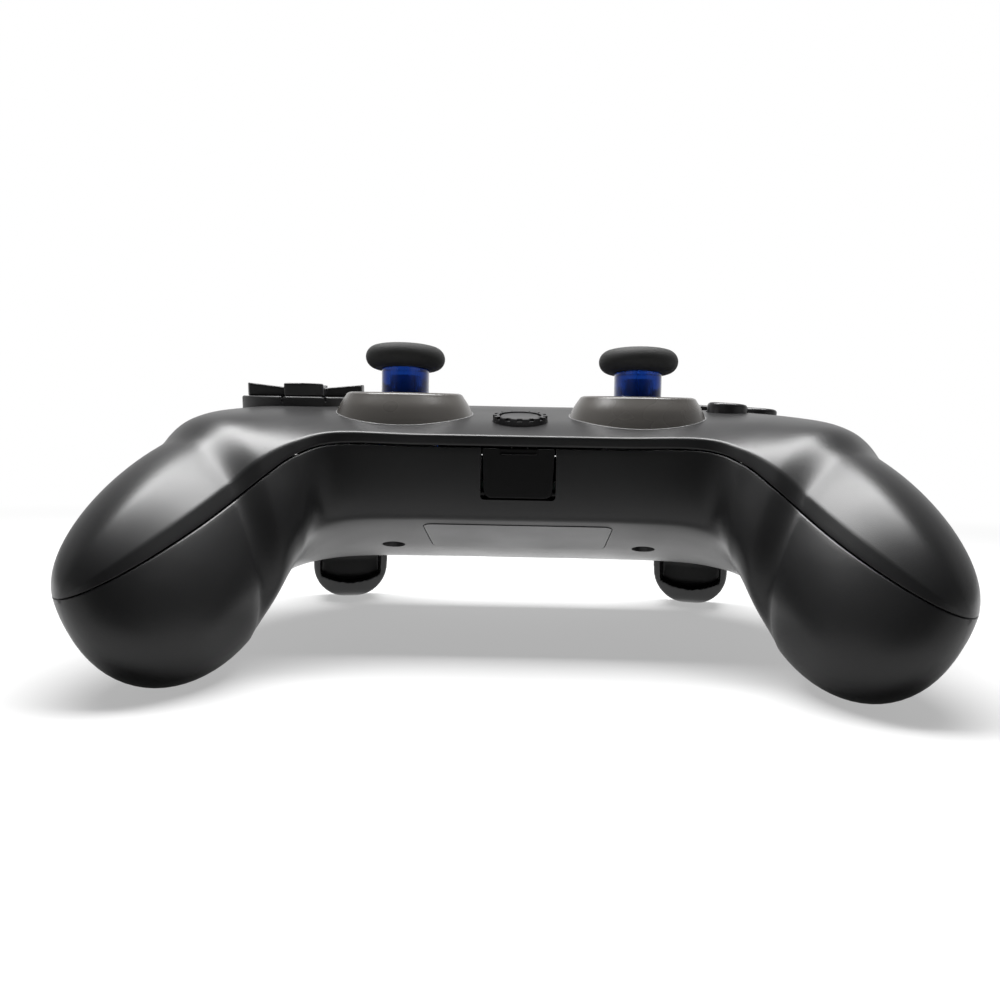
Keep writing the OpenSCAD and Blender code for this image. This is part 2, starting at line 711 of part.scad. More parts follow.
module rumble_weight(left) {
  color("#6f6a5e") on_side(left) difference() {
    union() {
      difference() {
        along_y(8, motor_at[1] - 14, motor_at[1] - 8, motor_at[0], motor_at[2]);
        box([motor_at[0] - 10, motor_at[0] + 10], [motor_at[1] - 15, motor_at[1]],
          [motor_at[2] + 0.5, motor_at[2] + 10]);
      }
      along_y(2.6, motor_at[1] - 14, motor_at[1] - 8, motor_at[0], motor_at[2]);
    }
    along_y(1 + run, motor_at[1] - 20, motor_at[1], motor_at[0], motor_at[2]);
  }
}

// Shoulders

// Curved bar of a bumper, grown by a clearance
module bumper_bar(grow, z0, z1) {
  half = bumper_l / 2 + grow;
  centre_y = wall_bulge - wall_arc;
  translate([0, 0, z0]) linear_extrude(z1 - z0) intersection() {
    translate([-half, -10]) square([2 * half, 20]);
    difference() {
      translate([0, centre_y]) circle(wall_arc + 1.5 + grow);
      translate([0, centre_y]) circle(wall_arc - 3.4 - 3 * grow);
    }
  }
}

module bumper(left) {
  color("#1b1b1d") on_side(left) shoulder() {
    bumper_bar(0, bumper_low, bumper_top);
    upright(bumper_pivot[0], bumper_pivot[1], 1.4, bumper_low, bumper_top);
    upright(bumper_pivot[0], bumper_pivot[1], 1, bumper_low, bumper_top + 2);
  }
}

module trigger(left) {
  side = concat(spline(trigger_back, 4), spline(trigger_front, 4));
  inner = trigger_w / 2 - trigger_wall;
  lip_a = asin(inner / lip_r);
  color("#1b1b1d") on_side(left) shoulder() difference() {
    union() {
      intersection() {
        translate([-trigger_w, 0, 0]) rotate([90, 0, 90]) linear_extrude(2 * trigger_w) polygon(side);
        translate([0, 30, 0]) rotate([90, 0, 0]) linear_extrude(60) polygon(concat(
          [[trigger_w / 2, 50], [-trigger_w / 2, 50]], arc(0, trigger_tip_r, trigger_tip_r, 180, 360, 30)));
      }
      along_x(3.5, 0.1 - trigger_w / 2, trigger_w / 2 - 0.1, trigger_pivot[0], trigger_pivot[1]);
    }
    along_x(pin_r + run, -trigger_w, trigger_w, trigger_pivot[0], trigger_pivot[1]);
    box([-4.2, 4.2], [-12, 0.2], [trigger_pivot[1] - 3.8, trigger_pivot[1] + 3.8]);
    intersection() {
      translate([-trigger_w / 2, 0, 0]) rotate([90, 0, 90]) linear_extrude(trigger_w) polygon(trigger_hollow);
      translate([0, 30, 0]) rotate([90, 0, 0]) linear_extrude(60) polygon(concat(
        [[inner, 50], [-inner, 50]], arc(0, lip_z + lip_r, lip_r, 270 - lip_a, 270 + lip_a, 16)));
    }
  }
}

module trigger_pin(left) {
  color("#c4c4c6") on_side(left) shoulder() along_x(pin_r, -trigger_w / 2 - 2.9,
    trigger_w / 2 + 2.9, trigger_pivot[0], trigger_pivot[1]);
}

// Coils of the return spring, side by side on the pin
module trigger_spring(left) {
  wire_r = 0.45;
  color("#d0d0d2") on_side(left) shoulder() for (i = [-3:3])
    translate([i, trigger_pivot[0], trigger_pivot[1]]) rotate([0, 90, 0])
      rotate_extrude() translate([pin_r + wire_r + 0.25, 0]) circle(wire_r);
}

// Cover over the headset jack, hinged along its lower edge

module port_cover() {
  corner = 1.8;
  color("#141416") {
    difference() {
      union() {
        translate([0, cover_y + cover_t, cover_low]) rotate([90, 0, 0]) linear_extrude(cover_t) polygon(concat(
          [[cover_w / 2, cover_h], [-cover_w / 2, cover_h]],
          arc(corner - cover_w / 2 + 0.4, corner, corner, 180, 270, 8),
          arc(cover_w / 2 - 0.4 - corner, corner, corner, 270, 360, 8)));
      }
      box([-4, 4], [cover_y - 1, cover_y + 0.5], [cover_low + cover_h - 1.2, cover_low + cover_h + 1]);
    }
    along_x(cover_pin_r, -cover_w / 2 - 1.4, cover_w / 2 + 1.4, cover_axis[0], cover_axis[1]);
  }
}

top_shell();
bottom_shell();
stick_surround(true);  // left_stick_surround
stick_surround(false);  // right_stick_surround
dpad_disc();
home_ring();
label_plate();
mid_frame();
main_board();
dpad_board();
face_board();
battery();
stick_module(true);  // left_stick_module
stick_module(false);  // right_stick_module
rumble_motor(true);  // left_rumble_motor
rumble_motor(false);  // right_rumble_motor
dpad_mat();
face_mat();
push_switches();
headset_jack();
charge_socket();
case_screws();
trigger_pin(true);  // left_trigger_pin
trigger_pin(false);  // right_trigger_pin
trigger_spring(true);  // left_trigger_spring
trigger_spring(false);  // right_trigger_spring
stick_bail(true);  // left_stick_bail
stick_bail(false);  // right_stick_bail
stick_shaft(true);  // left_stick_shaft
stick_shaft(false);  // right_stick_shaft
stick_stem(true);  // left_stick_stem
stick_stem(false);  // right_stick_stem
stick_cap(true);  // left_stick_cap
stick_cap(false);  // right_stick_cap
dpad_gimbal();
dpad_cross();
face_button(0);  // near_button
face_button(1);  // right_button
face_button(2);  // far_button
face_button(3);  // left_button
home_button();
menu_button(true);  // left_menu_button
menu_button(false);  // right_menu_button
bumper(true);  // left_bumper
bumper(false);  // right_bumper
trigger(true);  // left_trigger
trigger(false);  // right_trigger
rumble_weight(true);  // left_rumble_weight
rumble_weight(false);  // right_rumble_weight
port_cover();
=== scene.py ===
# %% [markdown]
# # A gamepad, dressed for its picture
# The solids come packed, in metres, with every moving piece on its own body.
# This lesson keeps them as the fixed frame and gives the pad its skin: smooth moulded shells,
# glossy blue stick stems, rubber caps, buttons with soft edges, and a white studio around it.

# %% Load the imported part
import math

import bmesh
import bpy
import numpy as np
from mathutils import Matrix, Vector
from mathutils.bvhtree import BVHTree


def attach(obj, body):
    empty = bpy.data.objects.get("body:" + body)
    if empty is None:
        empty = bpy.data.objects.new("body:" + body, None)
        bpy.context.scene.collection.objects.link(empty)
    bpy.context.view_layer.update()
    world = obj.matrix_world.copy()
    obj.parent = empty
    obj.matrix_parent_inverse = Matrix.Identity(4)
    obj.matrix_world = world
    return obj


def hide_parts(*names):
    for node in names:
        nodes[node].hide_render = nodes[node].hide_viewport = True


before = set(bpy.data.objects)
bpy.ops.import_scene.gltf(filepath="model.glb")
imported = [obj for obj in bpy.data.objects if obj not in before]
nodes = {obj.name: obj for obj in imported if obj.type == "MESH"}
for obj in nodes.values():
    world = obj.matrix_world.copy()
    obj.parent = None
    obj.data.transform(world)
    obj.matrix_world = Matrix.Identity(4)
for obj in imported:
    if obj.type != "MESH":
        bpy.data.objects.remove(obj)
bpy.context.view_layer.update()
scene = bpy.context.scene
MM = 0.001

# %% [markdown]
# ## The camera
# The photograph is taken from the user's side, close to the pad and almost level with the deck, with a
# wide lens. Its lens and place were found by laying the pad's outline over the photograph. The camera was
# held about one degree off level, and the pad sits a little left of the lens axis, so the frame is rolled
# and shifted sideways by these small amounts.

# %% Camera
view_data = bpy.data.cameras.new("photo_camera")
view_data.lens = 25.17
view_data.sensor_width = 36
view_data.shift_x = -0.0232
view_data.clip_start = 0.01
camera = bpy.data.objects.new("photo_camera", view_data)
camera.location = (0.0025, -0.1711, 0.0403)
camera.rotation_mode = "QUATERNION"
yaw, roll = (Matrix.Rotation(math.radians(a), 3, "Z") for a in (0.51, 1.11))
pitch = Matrix.Rotation(math.radians(87.82), 3, "X")
camera.rotation_quaternion = (yaw @ pitch @ roll).to_quaternion()
scene.collection.objects.link(camera)
scene.camera = camera
scene.view_settings.view_transform = "Standard"
print("camera at", [round(v, 4) for v in camera.location])

# %% [markdown]
# ## The studio
# The pad lies on a white table in front of white paper. White boards stand at both sides of the camera, and
# one large soft lamp hangs overhead. Where the camera itself stands the room is dim. A glossy black thing
# shows little but these mirrored surroundings, so they matter more than its own colour: the front wall
# mirrors the dim camera side, the grip tops mirror the lamp, and the deck mirrors the paper behind it. The
# world is a ring of brightness around the pad, read from the direction of a ray. It fades towards the top,
# sooner on the camera's side, and the camera's own rays see plain white. The table behind the pad is brighter
# in mirrors than to the camera, so that the belly catches it.


# %% World
def node_tools(tree):
    """A short way to add nodes and wires to one tree."""
    def add(kind, sockets={}, **values):
        node = tree.nodes.new(kind)
        for key, value in values.items():
            if key in node.inputs:
                node.inputs[key].default_value = value
            else:
                setattr(node, key, value)
        for key, value in sockets.items():
            node.inputs[key].default_value = value
        return node

    def wire(source, output, target, socket):
        tree.links.new(source.outputs[output], target.inputs[socket])

    return add, wire


def grey_ramp(node, stops):
    """Sets a colour ramp to grey stops (place, brightness)."""
    elements = node.color_ramp.elements
    while len(elements) < len(stops):
        elements.new(0.5)
    for element, (place, grey) in zip(elements, stops):
        element.position = place
        element.color = (grey, grey, grey, 1)


world = bpy.data.worlds.new("white_tent")
scene.world = world
world.use_nodes = True
world.node_tree.nodes.clear()
add, wire = node_tools(world.node_tree)
direction = add("ShaderNodeTexCoord")
parts = add("ShaderNodeSeparateXYZ")
level = add("ShaderNodeCombineXYZ")
compass = add("ShaderNodeVectorMath", operation="NORMALIZE")
bearing = add("ShaderNodeSeparateXYZ")
to_share = add("ShaderNodeMapRange", {"From Min": -1})
around = add("ShaderNodeValToRGB")
grey_ramp(around, [(0.0, 0.10), (0.035, 0.14), (0.13, 0.85), (0.34, 0.85),
                   (0.47, 0.28), (0.68, 0.36), (0.83, 0.55), (0.92, 0.95)])
height = add("ShaderNodeValToRGB")
grey_ramp(height, [(0.0, 1.0), (0.05, 0.90), (0.20, 0.18), (0.45, 0.06)])
above = add("ShaderNodeValToRGB")
grey_ramp(above, [(0.0, 1.0), (0.38, 1.0), (0.54, 0.30), (0.90, 0.30)])
front_share = add("ShaderNodeMapRange", {"From Min": 0.25, "From Max": -0.25})
faded = add("ShaderNodeMix", data_type="RGBA")
ring = add("ShaderNodeMix", {0: 1}, data_type="RGBA", blend_type="MULTIPLY")
paths = add("ShaderNodeLightPath")
lamp_side = add("ShaderNodeBackground", Strength=1.0)
seen_side = add("ShaderNodeBackground", Color=(1, 1, 1, 1), Strength=1.0)
choice = add("ShaderNodeMixShader")
output = add("ShaderNodeOutputWorld")
wire(direction, "Generated", parts, 0)
wire(parts, "X", level, "X")
wire(parts, "Y", level, "Y")
wire(level, 0, compass, 0)
wire(compass, 0, bearing, 0)
wire(bearing, "Y", to_share, "Value")
wire(to_share, 0, around, "Fac")
wire(parts, "Z", height, "Fac")
wire(bearing, "Y", front_share, "Value")
wire(front_share, 0, faded, 0)
wire(parts, "Z", above, "Fac")
wire(above, "Color", faded, 6)
wire(height, "Color", faded, 7)
wire(around, "Color", ring, 6)
wire(faded, 2, ring, 7)
wire(ring, 2, lamp_side, "Color")
wire(paths, "Is Camera Ray", choice, "Fac")
wire(lamp_side, 0, choice, 1)
wire(seen_side, 0, choice, 2)
wire(choice, 0, output, "Surface")
print("world nodes:", len(world.node_tree.nodes))


# %% Table
def placed(name, mesh):
    made = bpy.data.objects.new(name, mesh)
    scene.collection.objects.link(made)
    return made


def plain_mesh_object(name, vertices, faces, edges=()):
    mesh = bpy.data.meshes.new(name)
    mesh.from_pydata([tuple(map(float, v)) for v in vertices], edges, [tuple(map(int, f)) for f in faces])
    mesh.update()
    return placed(name, mesh)


table = plain_mesh_object("table_top", [(-3, -2, 0), (3, -2, 0), (3, 4, 0), (-3, 4, 0)], [(0, 1, 2, 3)])
paper = bpy.data.materials.new("white_paper")
paper.use_nodes = True
paper.node_tree.nodes.clear()
add, wire = node_tools(paper.node_tree)
where = add("ShaderNodeTexCoord")
distance = add("ShaderNodeVectorMath", operation="LENGTH")
fade = add("ShaderNodeMapRange", {"From Min": 0.16, "From Max": 0.75}, interpolation_type="SMOOTHSTEP")
rays = add("ShaderNodeLightPath")
lit = add("ShaderNodeBsdfDiffuse", Color=(0.36, 0.36, 0.36, 1))
glow = add("ShaderNodeEmission", Color=(1, 1, 1, 1), Strength=0.42)
spot = add("ShaderNodeSeparateXYZ")
behind = add("ShaderNodeMapRange", {
    "From Min": -0.060,
    "From Max": 0.035,
    "To Max": 0.95}, interpolation_type="SMOOTHSTEP")
mirrored = add("ShaderNodeEmission", Color=(1, 1, 1, 1))
in_gloss = add("ShaderNodeAddShader")
by_gloss = add("ShaderNodeMixShader")
lifted = add("ShaderNodeAddShader")
far_white = add("ShaderNodeEmission", Color=(1, 1, 1, 1), Strength=1.0)
near_far = add("ShaderNodeMixShader")
by_ray = add("ShaderNodeMixShader")
paper_out = add("ShaderNodeOutputMaterial")
wire(where, "Object", distance, 0)
wire(distance, "Value", fade, "Value")
wire(lit, 0, lifted, 0)
wire(glow, 0, lifted, 1)
wire(fade, 0, near_far, "Fac")
wire(lifted, 0, near_far, 1)
wire(far_white, 0, near_far, 2)
wire(rays, "Is Camera Ray", by_ray, "Fac")
wire(where, "Object", spot, 0)
wire(spot, "Y", behind, "Value")
wire(behind, 0, mirrored, "Strength")
wire(lit, 0, in_gloss, 0)
wire(mirrored, 0, in_gloss, 1)
wire(rays, "Is Glossy Ray", by_gloss, "Fac")
wire(lit, 0, by_gloss, 1)
wire(in_gloss, 0, by_gloss, 2)
wire(by_gloss, 0, by_ray, 1)
wire(near_far, 0, by_ray, 2)
wire(by_ray, 0, paper_out, "Surface")
table.data.materials.append(paper)
print("table is", [round(v, 2) for v in table.dimensions], "m")


# %% Lamps
def soft_box(name, place, aim, size, power):
    """A rectangular lamp that looks from its place to its aim."""
    data = bpy.data.lights.new(name, "AREA")
    data.shape = "RECTANGLE"
    data.size, data.size_y = size
    data.energy = power
    lamp = bpy.data.objects.new(name, data)
    lamp.location = place
    lamp.rotation_mode = "QUATERNION"
    lamp.rotation_quaternion = (Vector(aim) - Vector(place)).to_track_quat("-Z", "Y")
    scene.collection.objects.link(lamp)
    return lamp


soft_box("top_box", (-0.05, 0.08, 0.66), (-0.05, 0.07, 0.0), (0.80, 0.32), 12.0)

# %% [markdown]
# ## Effects that several finishes share
# Moulded plastic is never perfectly even. The mould leaves a fine grain, hands polish it in places, and a
# little dust settles on it. Each effect is one shader group with named inputs, so that every finish can use
# it with its own values. The groups only hand out heights and masks; the shader stays in the material.


# %% Grain group
def shader_group(name, inputs, outputs):
    group = bpy.data.node_groups.new(name, "ShaderNodeTree")
    for label, value in inputs.items():
        socket = group.interface.new_socket(name=label, in_out="INPUT", socket_type="NodeSocketFloat")
        socket.default_value = value
    for label in outputs:
        group.interface.new_socket(name=label, in_out="OUTPUT", socket_type="NodeSocketFloat")
    add, wire = node_tools(group)
    return group, add, wire, add("NodeGroupInput"), add("NodeGroupOutput")


grain_group, add, wire, given, result = shader_group(
    "mould_grain", {"Grain per metre": 4000.0, "Depth": 1.0}, ["Height", "Polish"])
place = add("ShaderNodeTexCoord")
fine = add("ShaderNodeTexNoise", Detail=3.0, Roughness=0.6)
broad = add("ShaderNodeTexNoise", Scale=60.0, Detail=2.0)
scaled = add("ShaderNodeMath", operation="MULTIPLY")
wire(place, "Object", fine, "Vector")
wire(place, "Object", broad, "Vector")
wire(given, "Grain per metre", fine, "Scale")
wire(fine, "Fac", scaled, 0)
wire(given, "Depth", scaled, 1)
wire(scaled, 0, result, "Height")
wire(broad, "Fac", result, "Polish")
print("group:", grain_group.name)

# %% Dust group
dust_group, add, wire, given, result = shader_group(
    "settled_dust", {"Specks per metre": 900.0, "Amount": 0.3}, ["Mask"])
place = add("ShaderNodeTexCoord")
specks = add("ShaderNodeTexVoronoi", feature="F1")
small = add("ShaderNodeMapRange", {"From Min": 0.13, "From Max": 0.05})
patches = add("ShaderNodeTexNoise", Scale=90.0, Detail=1.0)
only = add("ShaderNodeMapRange", {"From Min": 0.52, "From Max": 0.70})
facing = add("ShaderNodeNewGeometry")
upward = add("ShaderNodeSeparateXYZ")
lying = add("ShaderNodeMath", operation="MULTIPLY")
both = add("ShaderNodeMath", operation="MULTIPLY", use_clamp=True)
amount = add("ShaderNodeMath", operation="MULTIPLY", use_clamp=True)
wire(place, "Object", specks, "Vector")
wire(given, "Specks per metre", specks, "Scale")
wire(specks, "Distance", small, "Value")
wire(place, "Object", patches, "Vector")
wire(patches, "Fac", only, "Value")
wire(facing, "Normal", upward, 0)
wire(small, 0, both, 0)
wire(only, 0, both, 1)
wire(both, 0, lying, 0)
wire(upward, "Z", lying, 1)
wire(lying, 0, amount, 0)
wire(given, "Amount", amount, 1)
wire(amount, 0, result, "Mask")
print("group:", dust_group.name)

# %% [markdown]
# ## The finishes
# Most of the pad is black plastic, but each piece catches light in its own way: the shells are satin, the
# surrounds a little greyer, partly from their own plastic and partly as a painted reflection, the buttons
# glossier, the caps matt rubber.
# One maker function builds such a finish from its colour, its roughness and its grain. Each call gives the
# values of one finish; the light grey of the stick-hole lips is a painted highlight.


# %% Moulded finish
def moulded(name, colour, tint, roughness, spread, grain, depth, dust=0.0, metal=0.0, coat=0.0):
    """A moulded or sheet finish: two close tones, roughness that drifts, a fine grain and some dust."""
    finish = bpy.data.materials.new(name)
    finish.use_nodes = True
    tree = finish.node_tree
    tree.nodes.clear()
    add, wire = node_tools(tree)
    skin = add("ShaderNodeBsdfPrincipled", {"Coat Weight": coat, "Coat Roughness": 0.25}, Metallic=metal)
    texture = add("ShaderNodeGroup", {"Grain per metre": grain, "Depth": 1.0}, node_tree=grain_group)
    drift = add("ShaderNodeMapRange", {
        "From Min": 0.3,
        "From Max": 0.7,
        "To Min": roughness - spread,
        "To Max": roughness + spread})
    tone = add("ShaderNodeMix", {6: (*colour, 1), 7: (*tint, 1)}, data_type="RGBA")
    powder = add("ShaderNodeGroup", {"Amount": dust}, node_tree=dust_group)
    dusty = add("ShaderNodeMix", {7: (0.30, 0.29, 0.28, 1)}, data_type="RGBA")
    bump = add("ShaderNodeBump", Strength=depth, Distance=0.0001)
    final = add("ShaderNodeOutputMaterial")
    wire(texture, "Polish", drift, "Value")
    wire(drift, 0, skin, "Roughness")
    wire(texture, "Polish", tone, 0)
    wire(tone, 2, dusty, 6)
    wire(powder, "Mask", dusty, 0)
    wire(dusty, 2, skin, "Base Color")
    wire(texture, "Height", bump, "Height")
    wire(bump, "Normal", skin, "Normal")
    wire(skin, 0, final, "Surface")
    return finish


satin_shell = moulded(
    "satin_shell", (0.0075, 0.0075, 0.0080), (0.0100, 0.0100, 0.0105), 0.36, 0.03, 5200, 0.15, dust=0.05)
# The surround grey is partly the surrounds' own greyer plastic and partly a painted reflection of the bright
# front, raised into the base colour.
surround_grey_and_painted_reflection = moulded(
    "surround_grey_and_painted_reflection", (0.092, 0.087, 0.081), (0.108, 0.101, 0.093), 0.28, 0.03, 5200, 0.18, dust=0.05)
button_black = moulded(
    "button_black", (0.014, 0.014, 0.015), (0.018, 0.018, 0.019), 0.32, 0.03, 5200, 0.12, dust=0.05)
pad_black = moulded("pad_black", (0.016, 0.016, 0.017), (0.020, 0.020, 0.021), 0.45, 0.04, 4200, 0.3, dust=0.05)
cap_rubber = moulded(
    "cap_rubber", (0.015, 0.015, 0.015), (0.021, 0.021, 0.020), 0.72, 0.05, 2600, 0.8, dust=0.12)
label_sheet = moulded("label_sheet", (0.030, 0.030, 0.033), (0.038, 0.038, 0.041), 0.34, 0.04, 2600, 0.2)
frame_black = moulded("frame_black", (0.022, 0.022, 0.023), (0.028, 0.028, 0.029), 0.55, 0.05, 3000, 0.4)
cover_black = moulded("cover_black", (0.0030, 0.0030, 0.0032), (0.0042, 0.0042, 0.0044), 0.40, 0.03, 5200, 0.15)
cover_black.node_tree.nodes["Principled BSDF"].inputs["Specular IOR Level"].default_value = 0.22
# The lip grey is a painted highlight on the thin rounded lip around each stick hole.
painted_lip_highlight = moulded("painted_lip_highlight", (0.16, 0.16, 0.16), (0.24, 0.24, 0.24), 0.30, 0.05, 3000, 0.2)
board_green = moulded(
    "board_green", (0.010, 0.085, 0.040), (0.014, 0.105, 0.052), 0.36, 0.05, 700, 0.3, coat=0.4)
mat_grey = moulded("mat_grey", (0.16, 0.16, 0.17), (0.20, 0.20, 0.21), 0.60, 0.05, 1800, 0.4)
cell_wrap = moulded("cell_wrap", (0.10, 0.11, 0.13), (0.13, 0.14, 0.16), 0.40, 0.06, 900, 0.3)
plain_steel = moulded("plain_steel", (0.50, 0.50, 0.51), (0.58, 0.58, 0.59), 0.32, 0.06, 1500, 0.2, metal=1.0)
sintered_iron = moulded(
    "sintered_iron", (0.22, 0.21, 0.19), (0.30, 0.28, 0.25), 0.48, 0.08, 1200, 0.6, metal=1.0)
shaft_white = moulded("shaft_white", (0.55, 0.55, 0.53), (0.62, 0.62, 0.60), 0.45, 0.04, 3000, 0.2)
print("finishes:", len(bpy.data.materials))

# %% [markdown]
# The stick stems are the one coloured thing on the pad: clear blue plastic, polished, so that the dark core
# shows through the middle and the edges glow. A clear shader with a blue tint does this. Faint flow lines
# from the moulding run up and down in it.

# %% Blue stem finish
stem_blue = bpy.data.materials.new("stem_blue")
stem_blue.use_nodes = True
stem_blue.node_tree.nodes.clear()
add, wire = node_tools(stem_blue.node_tree)
clear = add("ShaderNodeBsdfPrincipled", {
    "Transmission Weight": 0.55,
    "Coat Weight": 0.5,
    "Coat Roughness": 0.05}, IOR=1.49)
spot = add("ShaderNodeTexCoord")
stretch = add("ShaderNodeMapping", {"Scale": (900, 900, 60)})
flow = add("ShaderNodeTexNoise", Scale=1.0, Detail=2.0)
depths = add("ShaderNodeMix", {6: (0.008, 0.060, 0.450, 1), 7: (0.014, 0.095, 0.560, 1)}, data_type="RGBA")
gloss = add("ShaderNodeMapRange", {"To Min": 0.06, "To Max": 0.16})
ripple = add("ShaderNodeBump", Strength=0.05, Distance=0.0001)
shown = add("ShaderNodeOutputMaterial")
wire(spot, "Object", stretch, "Vector")
wire(stretch, 0, flow, "Vector")
wire(flow, "Fac", depths, 0)
wire(depths, 2, clear, "Base Color")
wire(flow, "Fac", gloss, "Value")
wire(gloss, 0, clear, "Roughness")
wire(flow, "Fac", ripple, "Height")
wire(ripple, "Normal", clear, "Normal")
wire(clear, 0, shown, "Surface")
print("finish:", stem_blue.name)

# %% [markdown]
# ## The two shells
# The shells are one swept form. Two parting lines run along the pad, one on the user's side and one on the
# far side, from the middle out to the grip ends. Between them hangs a profile that changes from a flat deck
# to a round grip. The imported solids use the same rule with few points. Here the same rule runs with many
# points, and the crease above the seam and the rims get small rounded edges that catch the light.

# %% The rule of the shells, in millimetres
FRONT, BACK, SEAM = 22.0, 46.0, 45.8
DECK, BELLY, GRIP_UP, GRIP_DOWN = 14.0, 30.0, 13.0, 28.4
HALF_WIDTH, SHOULDER, WALL, SEAM_GAP = 84.5, 57.0, 2.2, 0.3
stations = np.array([
    [0, -FRONT, SEAM, 0, BACK, SEAM, DECK, BELLY, 0, 0],
    [22, -FRONT, SEAM, 22, BACK, SEAM, DECK, BELLY, 0, 0],
    [39, -FRONT - 0.6, SEAM, SHOULDER, BACK - 2, SEAM - 0.4, DECK - 0.2, BELLY, 0, 0.15],
    [46, -FRONT - 5, SEAM - 2.7, SHOULDER + 0.855 * (HALF_WIDTH - SHOULDER), BACK - 25, SEAM - 3.4,
     DECK - 1.1, BELLY - 0.5, 4, 0.55],
    [50.5, -FRONT - 9.5, SEAM - 7, HALF_WIDTH, BACK - 48, SEAM - 9.8, GRIP_UP + 1.2, GRIP_DOWN + 0.2, 5, 0.85],
    [55, -FRONT - 14.5, SEAM - 12.2, HALF_WIDTH - 1.5, BACK - 64, SEAM - 16, GRIP_UP, GRIP_DOWN, 6, 1]])
grip_axis = np.array([6.4, -29.4, -13.9])
grip_axis = grip_axis / np.linalg.norm(grip_axis)
GRIP_REACH = 33.0
deck_top = np.array([[0, 0.16], [0.10, 0.36], [0.34, 0.62], [0.66, 0.95], [0.99, 0.97], [1, 0]])
grip_top = np.array([[0.03, 0.26], [0.13, 0.60], [0.32, 0.99], [0.70, 1.10], [1, 0.60], [1, 0]])
deck_low = np.array([[1, 0], [1, -0.55], [0.93, -1], [0.55, -0.95], [0.05, -0.55], [-0.005, -0.47], [0, 0]])
grip_low = np.array([[1, 0], [0.91, -0.36], [0.56, -0.88], [0.28, -1.08], [-0.06, -0.93],
                     [-0.16, -0.45], [0, 0]])


def bend(a, c, b, f):
    f = np.asarray(f)[:, None]
    return (1 - f) ** 2 * a + 2 * f * (1 - f) * c + f * f * b


def drawn(control, steps):
    """A smooth curve that starts and ends on its control points."""
    last = len(control) - 1
    pieces = [control[:1]]
    for i in range(1, last):
        a = control[0] if i == 1 else (control[i - 1] + control[i]) / 2
        b = control[last] if i == last - 1 else (control[i] + control[i + 1]) / 2
        pieces.append(bend(a, control[i], b, np.arange(1, steps + 1) / steps))
    return np.vstack(pieces)


def station_at(u):
    last = len(stations) - 1
    i = min(int(u), last - 1)
    f = u - i
    p1, p2 = stations[i], stations[i + 1]
    p0 = stations[i - 1] if i > 0 else 2 * p1 - p2
    if i + 2 <= last:
        p3 = stations[i + 2]
    else:
        p3 = p1.copy()
        p3[0:3] += 2 * grip_axis * np.linalg.norm(p2[0:3] - p1[0:3])
        p3[3:6] += 2 * grip_axis * np.linalg.norm(p2[3:6] - p1[3:6])
    return 0.5 * (2 * p1 + (p2 - p0) * f + (2 * p0 - 5 * p1 + 4 * p2 - p3) * f ** 2
                  + (3 * p1 - p0 - 3 * p2 + p3) * f ** 3)


print("stations:", len(stations))


# %% One ring of a shell
def outer_row(row, width, has_crease, rim=0.35, soft=0.6):
    """The outside of a profile, evenly spaced, with its crease and its two rims rounded."""
    steps = np.linalg.norm(np.diff(row, axis=0), axis=1)
    reach = np.concatenate([[0], np.cumsum(steps)])

    def along(s):
        return np.column_stack([np.interp(s, reach, row[:, 0]), np.interp(s, reach, row[:, 1])])

    total = reach[-1]
    turn = np.linspace(0, 1, 5)
    inward = 1 if row[0][0] < width / 2 else -1
    first = bend(row[0] + [inward * rim, 0], row[0], along([rim])[0], turn)
    last = bend(along([total - rim])[0], row[-1], row[-1] + [-inward * rim, 0], turn)
    if not has_crease:
        return np.vstack([first, along(np.linspace(rim, total - rim, 84))[1:], last[1:]])
    crease = reach[1]
    soft = min(soft, 0.45 * crease)
    edge = bend(along([crease - soft])[0], row[1], along([crease + soft])[0], np.linspace(0, 1, 9))
    return np.vstack([first, along(np.linspace(rim, crease - soft, 4))[1:], edge[1:],
                      along(np.linspace(crease + soft, total - rim, 60))[1:], last[1:]])


def inner_row(row, width):
    """The inside of a profile: the same curve moved in by the wall."""
    tangent = np.vstack([row[1:2] - row[:1], row[2:] - row[:-2], row[-1:] - row[-2:-1]])
    normal = np.column_stack([tangent[:, 1], -tangent[:, 0]]) / np.linalg.norm(tangent, axis=1)[:, None]
    moved = row + normal * WALL
    for i in (0, -1):
        moved[i] = row[i] + [WALL if row[i][0] < width / 2 else -WALL, 0]
    return moved


def shell_ring(u, is_top, inside):
    last = len(stations) - 1
    r = station_at(min(u, last))
    turn = max(0.0, u - last) * math.pi / 2
    near, far = r[0:3], r[3:6]
    width = np.linalg.norm(far - near)
    across = (far - near) / width
    up = np.array([0, -math.sin(math.radians(r[8])), math.cos(math.radians(r[8]))])
    up = up - across * (up @ across)
    up = up / np.linalg.norm(up)
    share = min(1.0, max(0.0, r[9]))
    a, b = (deck_top, grip_top) if is_top else (deck_low, grip_low)
    row = drawn(a + (b - a) * share, 3 if inside else 40)
    row = np.vstack([[[0, 0]], row]) if is_top else row
    row = row * [width, r[6] if is_top else r[7]]
    row = inner_row(row, width) if inside else outer_row(row, width, is_top)
    middle = (near + far) / 2
    lift = up * (SEAM_GAP / 2 if is_top else -SEAM_GAP / 2)
    shift = grip_axis * (GRIP_REACH - (WALL if inside else 0)) * math.sin(turn)
    points = near + np.outer(row[:, 0], across) + np.outer(row[:, 1], up)
    return middle + (points - middle) * math.cos(turn) + shift + lift


print("points in one top ring:", len(shell_ring(0.0, True, False)))

# %% Both shells as closed meshes
half_us = [i / 16 for i in range(16 * 5 + 1)] + [5 + i / 24 for i in range(1, 24)]


